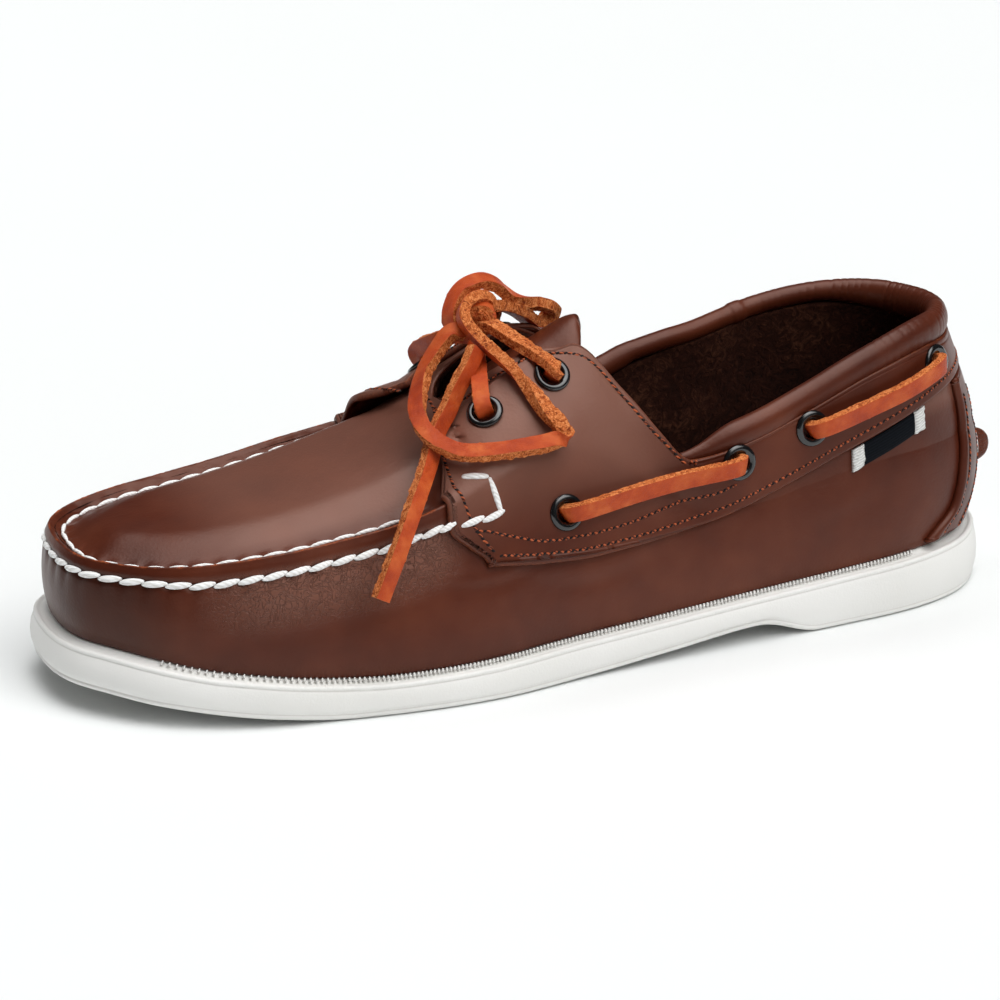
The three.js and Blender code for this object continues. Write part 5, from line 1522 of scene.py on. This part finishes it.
def set_sole():
    """The cup sole: rolled rim bead, sunk ledge, bellied side, lip along the tread, cut sipes."""
    half = (1 - np.cos(np.linspace(0, math.pi, 420))) / 2 * 0.35 + np.linspace(0, 1, 420) * 0.65
    angles = half * math.pi
    side = np.array(SOLE_SIDE)
    x = station_of(angles)
    top, base = rim_z(x), underside_z(x)
    belly = 0.5 + 0.5 * smooth((abs(x) - 100) / 40)
    grids = []
    for sign in (1, -1):
        rows = []
        for inset, share, extra in side:
            bulged = inset * np.where(inset < -0.1, belly, 1)
            px, py = outline(sign * angles, bulged)
            z = base + (top - base) * share + extra
            rows.append(np.stack([px, py, z], axis=1))
        rows = np.stack(rows, axis=1)
        rows[:, -1, 2] = underside_z(rows[:, -1, 0])
        grids.append(rows)
    outer, inner = grids[0], grids[1][:, ::-1]
    share = np.linspace(0, 1, 62)[1:-1][None, :, None]
    tread = outer[:, -1:, :] * (1 - share) + inner[:, :1, :] * share
    flat_z = underside_z(tread[..., 0])
    wave = tread[..., 0] + 2.2 * np.arcsin(np.sin(tread[..., 1] * 0.55)) / 1.57
    sipe = np.clip(np.cos(2 * math.pi * wave / 6.4) * 3.2 - 2.0, 0, 1)
    edge = smooth(np.minimum(share, 1 - share)[..., 0] / 0.06)
    solid_ground = smooth((tread[..., 0] + 143) / 5) * (1 - smooth((tread[..., 0] - 143) / 4))
    tread[..., 2] = flat_z + 1.0 * sipe * edge * solid_ground
    seat = np.linspace(0, 1, 10)[1:-1][None, :, None]
    top_span = inner[:, -1:, :] * (1 - seat) + outer[:, :1, :] * seat
    rings = np.concatenate([outer, tread, inner, top_span], axis=1)
    # Painted shade: the sipes and the two grooves along the side are darkened, where shade falls in them.
    dark = np.zeros(rings.shape[:2])
    dark[:, len(side):len(side) + tread.shape[1]] = sipe * edge * solid_ground
    for k in SOLE_GROOVES:
        dark[:, k] = 0.35
        dark[:, len(side) * 2 + tread.shape[1] - 1 - k] = 0.35
    faces = grid_faces(rings.shape[0], rings.shape[1], closed_columns=True)
    numbers = {"dark": dark.ravel()}
    piece = make_piece("cup_sole", rings.reshape(-1, 3), faces, RUBBER, numbers)
    settle(piece)
    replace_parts(piece, "outsole")


def tooth_shape(tree, given):
    """A tooth of the welt: a blunt wedge that leans along the welt."""
    inputs = {"Vertices": 4, "Radius Top": given["Tip"], "Radius Bottom": given["Root"],
              "Depth": given["Tall"]}
    made = add(tree, "GeometryNodeMeshCone", inputs).outputs[0]
    steps = (("Rotation", (0, 0, math.pi / 4)), ("Scale", (0.75, 1.2, 1)), ("Rotation", (0, 0.3, 0)))
    for key, value in steps:
        made = add(tree, "GeometryNodeTransform", {"Geometry": made, key: value}).outputs[0]
    return made


def set_teeth():
    """The knurled welt where upper and sole meet: coarse at the toe, finer along the sides."""
    rows = []
    for sign in (1, -1):
        angle = np.linspace(float(angle_of(-128)), float(angle_of(118)), 3000)
        x, y = outline(sign * angle, LEDGE - 0.75)
        points = np.stack([x, y, rim_z(station_of(angle)) + 0.75], axis=1)
        steps = np.linalg.norm(np.diff(points, axis=0), axis=1)
        pitch = 2.2 - 0.95 * smooth((x[1:] + 118) / 70)
        count = np.concatenate([[0], np.cumsum(steps / pitch)])
        places = np.interp(np.arange(0, int(count[-1])), count, np.arange(len(points)))
        at = points_at(places, np.arange(len(points)), points)
        along = unit(np.gradient(at, axis=0))
        outward = unit(np.cross(along, (0, 0, 1)) * sign)
        up = unit(np.array((0, 0, 1)) - 0.25 * outward)
        rows.append((at, along, up))
    sizes = {"Tip": 0.30 * MM, "Root": 0.72 * MM, "Tall": 1.25 * MM}
    repeated("welt_teeth", joined(*rows), tooth_shape, sizes, RUBBER, sway=0.05, seed=4)


def set_foot_bed():
    angles = np.linspace(0.02, math.pi - 0.02, 150)
    share = graded(30, 0.012)[None, :, None]
    sides = []
    for sign in (1, -1):
        x, y = outline(sign * angles, LEDGE + LEATHER - 0.7)
        sides.append(np.stack([x, y, rim_z(station_of(angles)) + FEATHER_UP], axis=1))
    low = sides[0][:, None, :] * (1 - share) + sides[1][:, None, :] * share
    high = low.copy()
    distance = edge_distance(low)
    dish = 1.2 * smooth(distance / 14)
    high[..., 2] += rounded(distance, INSOLE_THICK + 0.8, 2.0) - dish
    piece = sheet_piece("foot_bed", high, low, FOOT_BED)
    settle(piece)
    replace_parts(piece, "insole")


# ---- stitching --------------------------------------------------------------------------------
OVER = GAP + OVERLAY
BROWN_PITCH = 2.4


def on_saddle(angle, run):
    return OVER + wing_lift(angle, run)


SLOT_ROW = table(("at", "run"), (
    (-30, 0.925), (-20, 0.935), (-8, 0.942), (0, 0.948), (6, 0.957), (11, 0.963), (17, 0.966),
    (23, 0.962), (28, 0.956), (32, 0.953), (35, 0.948), (37.2, 0.93),
))
# Down the front of the wing, from the slot's corner to the band.
FRONT_ROW = table(("at", "run"), (
    (-31.5, 0.95), (-32, 0.91), (-35, 0.79), (-37, 0.7), (-37, 0.6), (-35.5, 0.5), (-33, 0.42),
    (-27.5, 0.33),
))
# The arched row above the band's own, from the wing's front back under the side lace.
UPPER_ROW = table(("at", "z"), (
    (-33, 49.5), (-23, 47), (-11, 43.5), (-4, 43), (4, 43), (16, 44), (30, 46.5), (38, 47.5),
    (47, 48), (54, 49.5),
))
BAND_ROW_UP = 3                 # the lower row runs this far above the band's edge
BAND_ROW_START = -26
STAY_ROWS_FOOT = 20.5
STAY_ROWS_TOP = 59


def band_row(sign):
    """The row along the band's lower edge, back to the heel: its angles and runs."""
    at = np.linspace(BAND_ROW_START, HALF_LENGTH, 300)
    angle = sign * angle_of(at)
    return angle, run_at_height(angle, read(BAND_EDGE, "at", at, "z") + BAND_ROW_UP)


def stay_rows():
    """Two rows down the heel stay, each some degrees round from its edge: angles and runs."""
    z = np.linspace(STAY_ROWS_TOP, STAY_ROWS_FOOT, 240)
    edge = angle_of(read(STAY_EDGE, "z", z, "at"))
    near = 4 - 1.2 * np.exp(-((z - 31) / 4) ** 2)
    far = 11 + 3 * smooth((z - 28) / 8) - 1.3 * smooth((z - 44) / 8)
    return [(angle, run_at_height(angle, z)) for angle in (edge + np.radians(near), edge + np.radians(far))]


def brown_rows(start=0.5):
    rows = []
    for sign in (1, -1):
        for row in (SLOT_ROW, FRONT_ROW):
            at, run = finer(row, ("at", "run"))
            shift = -4 if sign < 0 and row is FRONT_ROW else 0
            rows.append(row_of(sign * angle_of(at + shift), run, on_saddle, BROWN_PITCH, start))
        at = np.linspace(UPPER_ROW["at"][0], UPPER_ROW["at"][-1], 300)
        upper = sign * angle_of(at)
        upper_run = run_at_height(upper, read(UPPER_ROW, "at", at, "z"))
        for angle, run in ((upper, upper_run), band_row(sign)):
            rows.append(row_of(angle, run, on_saddle, BROWN_PITCH, start))
        for angle, run in stay_rows():
            rows.append(row_of(sign * angle, run, GAP + STAY_THICK + 0.1, BROWN_PITCH, start))
    return joined(*rows)


def white_rows():
    rows, inner_rows = [], []
    for sign in (1, -1):
        half = np.linspace(0.0, float(angle_of(-44)), 260) * sign
        runs = run_below_ridge(half, seam_depth(half))
        runs = np.convolve(np.pad(runs, 12, mode="edge"), np.ones(25) / 25, "valid")
        points, normals = grown(half, runs, 0.15), form_normal(half, runs)
        inner = np.full(len(half), APRON_SEAM_RUN)
        inner_points, inner_normals = grown(half, inner, 0.55), form_normal(half, inner)
        inner_rows.append(even_row(inner_points, inner_normals, SEAM_PITCH))
        rows.append(even_row(points, normals, SEAM_PITCH))
        # Over the wing's front edge and up to its stitched square.
        path = [(-44, float(runs[-1])), (-40, 0.475), (-35, 0.458), (-29.5, 0.447), (-24.5, 0.442)]
        path_angle = sign * angle_of(np.array([p[0] for p in path]))
        path_run = np.array([p[1] for p in path])
        lifts = np.array([0.2, 1.9, OVER + 0.4, OVER + 0.3, OVER + 0.3])
        fine = np.linspace(0, 1, 80)
        knots = np.linspace(0, 1, len(path))
        angle, run = np.interp(fine, knots, path_angle), np.interp(fine, knots, path_run)
        lift = np.interp(fine, knots, lifts)
        rows.append(even_row(grown(angle, run, lift), form_normal(angle, run), SEAM_PITCH * 0.95))
    return joined(*rows), joined(*inner_rows)


def stitch_sizes(length, width, height, dip, slant):
    sizes = {"Length": length, "Width": width, "Height": height, "Dip": dip, "Slant": slant}
    return {label: size * MM for label, size in sizes.items()}


def set_stitching():
    brown = stitch_sizes(2.2, 0.85, 0.65, 0.3, 0.5)
    pricked = stitch_sizes(1.15, 0.8, 0.45, 0.0, 0.4)
    # Painted shade: small near-black pills set between the brown stitches stand for the shade in the needle
    # holes.
    repeated("needle_hole_shade", brown_rows(0.0), stitch_shape, pricked, HOLE_SHADE, seed=5)
    repeated("brown_stitching", brown_rows(), stitch_shape, brown, BROWN_THREAD,
             sway=0.10, seed=2)
    white = stitch_sizes(8.0, 2.1, 1.7, 0.5, 1.0)
    outside, inside = white_rows()
    repeated("white_seam_stitching", outside, stitch_shape, white, WHITE_THREAD,
             sway=0.04, seed=3)
    slim = stitch_sizes(7.6, 1.4, 1.5, 0.35, 0.3)
    repeated("apron_seam_stitching", inside, stitch_shape, slim, WHITE_THREAD,
             sway=0.04, seed=4)


# ---- the white squares on the wings -----------------------------------------------------------
SQUARE_CORNERS = ((-34.4, 0.612), (-26.7, 0.572), (-24.5, 0.442))


def thread_bar(a, b, thick=1.9):
    """A thick doubled thread from one hole to the next."""
    share = np.linspace(0, 1, 15)[:, None]
    line = a["point"] * (1 - share) + b["point"] * share
    up = unit(a["up"] * (1 - share) + b["up"] * share)
    bow = np.sin(share * math.pi) ** 0.5
    line = line + up * (0.9 * bow - 0.7)
    radii = np.repeat(thick / 2 * (0.55 + 0.45 * np.sin(share * math.pi) ** 0.4), 12, axis=1)
    rings = swept(line, up, radii, radii, 12)
    faces = grid_faces(len(line), 12, closed_columns=True)
    return rings.reshape(-1, 3), faces + end_faces(len(line), 12)


def thread_hole(at, run, sign, off):
    """A hole that a thread comes out of, on one side of the shoe."""
    angle = float(angle_of(at)) * sign
    return {"point": grown(angle, run, off + wing_lift(angle, run)), "up": form_normal(angle, run)}


def set_squares():
    bars = []
    for sign in (1, -1):
        holes = [thread_hole(at, run, sign, OVER) for at, run in SQUARE_CORNERS]
        bars += [thread_bar(a, b) for a, b in zip(holes, holes[1:])]
    points, faces = as_one(bars)
    piece = make_piece("white_squares", points, faces, WHITE_THREAD)
    settle(piece)


def set_bar_tacks():
    """Two short stitches that hold each slot's corner."""
    bars = []
    for sign in (1, -1):
        for tack in (((38.6, 0.955), (38.9, 0.985)), ((40.0, 0.95), (40.4, 0.985))):
            ends = [thread_hole(at, run, sign, OVER + 0.35) for at, run in tack]
            bars.append(thread_bar(*ends, thick=0.75))
    points, faces = as_one(bars)
    piece = make_piece("slot_bar_tacks", points, faces, BROWN_THREAD)
    settle(piece)


# ---- heel tag ---------------------------------------------------------------------------------
TAG_FRONT = 94.2
TAG_LENGTH = 27.3
TAG_FRONT_Z = 49.8
TAG_RISE = 9
TAG_HALF_WIDE = 3.4
TAG_RIBS = 8
TAG_END = 12                    # rows of its grid that the white ends cover


def set_tag():
    """A bare folded tape on the heel's outer side, a little puffed, with white frayed ends."""
    share = np.linspace(0, 1, 90)[:, None]
    up = np.linspace(-1, 1, 28)[None, :]
    at = TAG_FRONT + TAG_LENGTH * share
    z = TAG_FRONT_Z + TAG_RISE * share + TAG_HALF_WIDE * up
    angle = angle_of(at)
    run = run_at_height(angle, z)
    puff = 0.7 * np.sqrt(np.clip(1 - up ** 2, 0, 1)) * np.clip(np.sin(share * math.pi), 0, 1) ** 0.3
    white = 1 - smooth(np.minimum(share, 1 - share) / 0.02 - 6.0)
    wave = np.cos(up * TAG_RIBS * math.pi)
    outer = grown(angle, run, 0.35 + puff + 0.5 * white + 0.08 * wave)
    inner = grown(angle, run, 0.05)
    # Painted shade: rib follows the ribs' relief, so the tape's colour is darker in the hollows between them.
    rib = np.repeat(0.5 + 0.5 * wave, len(share), axis=0)
    tape = slice(TAG_END, -TAG_END)
    middle = sheet_piece("heel_tape", outer[tape], inner[tape], NAVY_TAPE, {"rib": (rib[tape], rib[tape])})
    settle(middle)
    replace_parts(middle, "heel_tag")
    ends = (("tape_end_front", slice(0, TAG_END + 2)), ("tape_end_back", slice(-TAG_END - 2, None)))
    for name, part in ends:
        ragged = 0.5 * roughness_at(outer[part], 1.3, 6.0)
        thicker = outer[part] + form_normal(angle, run)[part] * (0.3 + ragged)[..., None]
        numbers = {"rib": (rib[part], rib[part])}
        piece = sheet_piece(name, thicker, inner[part], WHITE_TAPE, numbers)
        settle(piece)


# ---- heel pinch -------------------------------------------------------------------------------
PINCH_Z = 36.5
PINCH_TALL = 10.0
PINCH_OUT = 7.2


def set_pinch():
    """The back seam's leather, pinched to a nub and tied round with white thread."""
    low = float(run_at_height(math.pi, PINCH_Z))
    root = grown(math.pi, low, GAP + STAY_THICK)
    count = 20
    rings = []
    for t in np.linspace(0, 1, 16):
        reach = -1.5 + (PINCH_OUT + 1.5) * t
        full = math.sqrt(max(1 - max(t - 0.35, 0) ** 2 / 0.43, 0.0)) * (0.72 + 0.5 * smooth(t / 0.5))
        turn = np.linspace(0, 2 * math.pi, count, endpoint=False)
        fold = 1 + 0.16 * np.cos(3 * turn + 1.0)
        y = 1.7 * full * fold * np.cos(turn)
        z = PINCH_TALL / 2 * full * np.sin(turn) * (1 + 0.1 * np.cos(2 * turn))
        rings.append(np.stack([np.full(count, root[0] + reach), root[1] + 1.2 + y, root[2] + z], axis=1))
    rings = np.array(rings)
    faces = grid_faces(len(rings), count, closed_columns=True)
    faces += end_faces(len(rings), count)
    blank = np.zeros(len(rings) * count)
    numbers = {"cut": blank + 0.12, "crumple": blank + 1}
    piece = make_piece("heel_pinch", rings.reshape(-1, 3), faces, COWHIDE, numbers)
    settle(piece)
    rings = []
    for reach, lean, start_z in ((0.9, 0.16, 0.0), (1.9, -0.1, 0.6)):
        turn = np.linspace(0, 2 * math.pi, 40, endpoint=False)
        ring_line = np.stack([root[0] + reach + lean * 5 * np.sin(turn), root[1] + 1.2 + 1.75 * np.cos(turn),
                              root[2] + start_z + 4.7 * np.sin(turn)], axis=1)
        ahead = unit(np.roll(ring_line, -1, axis=0) - np.roll(ring_line, 1, axis=0))
        side = np.cross(ahead, np.array((1.0, 0, 0)))
        around = np.linspace(0, 2 * math.pi, 10, endpoint=False)
        tube = (ring_line[:, None, :] + 0.85 * (side[:, None, :] * np.cos(around)[None, :, None]
                                                + np.array((1.0, 0, 0)) * np.sin(around)[None, :, None]))
        rings.append((tube.reshape(-1, 3), grid_faces(40, 10, closed_rows=True, closed_columns=True)))
    points, faces = as_one(rings)
    tie = make_piece("heel_pinch_thread", points, faces, WHITE_THREAD)
    settle(tie)


set_side_laces()
set_eyelets()
set_upper()
set_lining()
set_saddle()
set_heel_stay()
set_collar()
set_tongue()
set_sole()
set_teeth()
set_foot_bed()
set_stitching()
set_squares()
set_bar_tacks()
set_tag()
set_pinch()
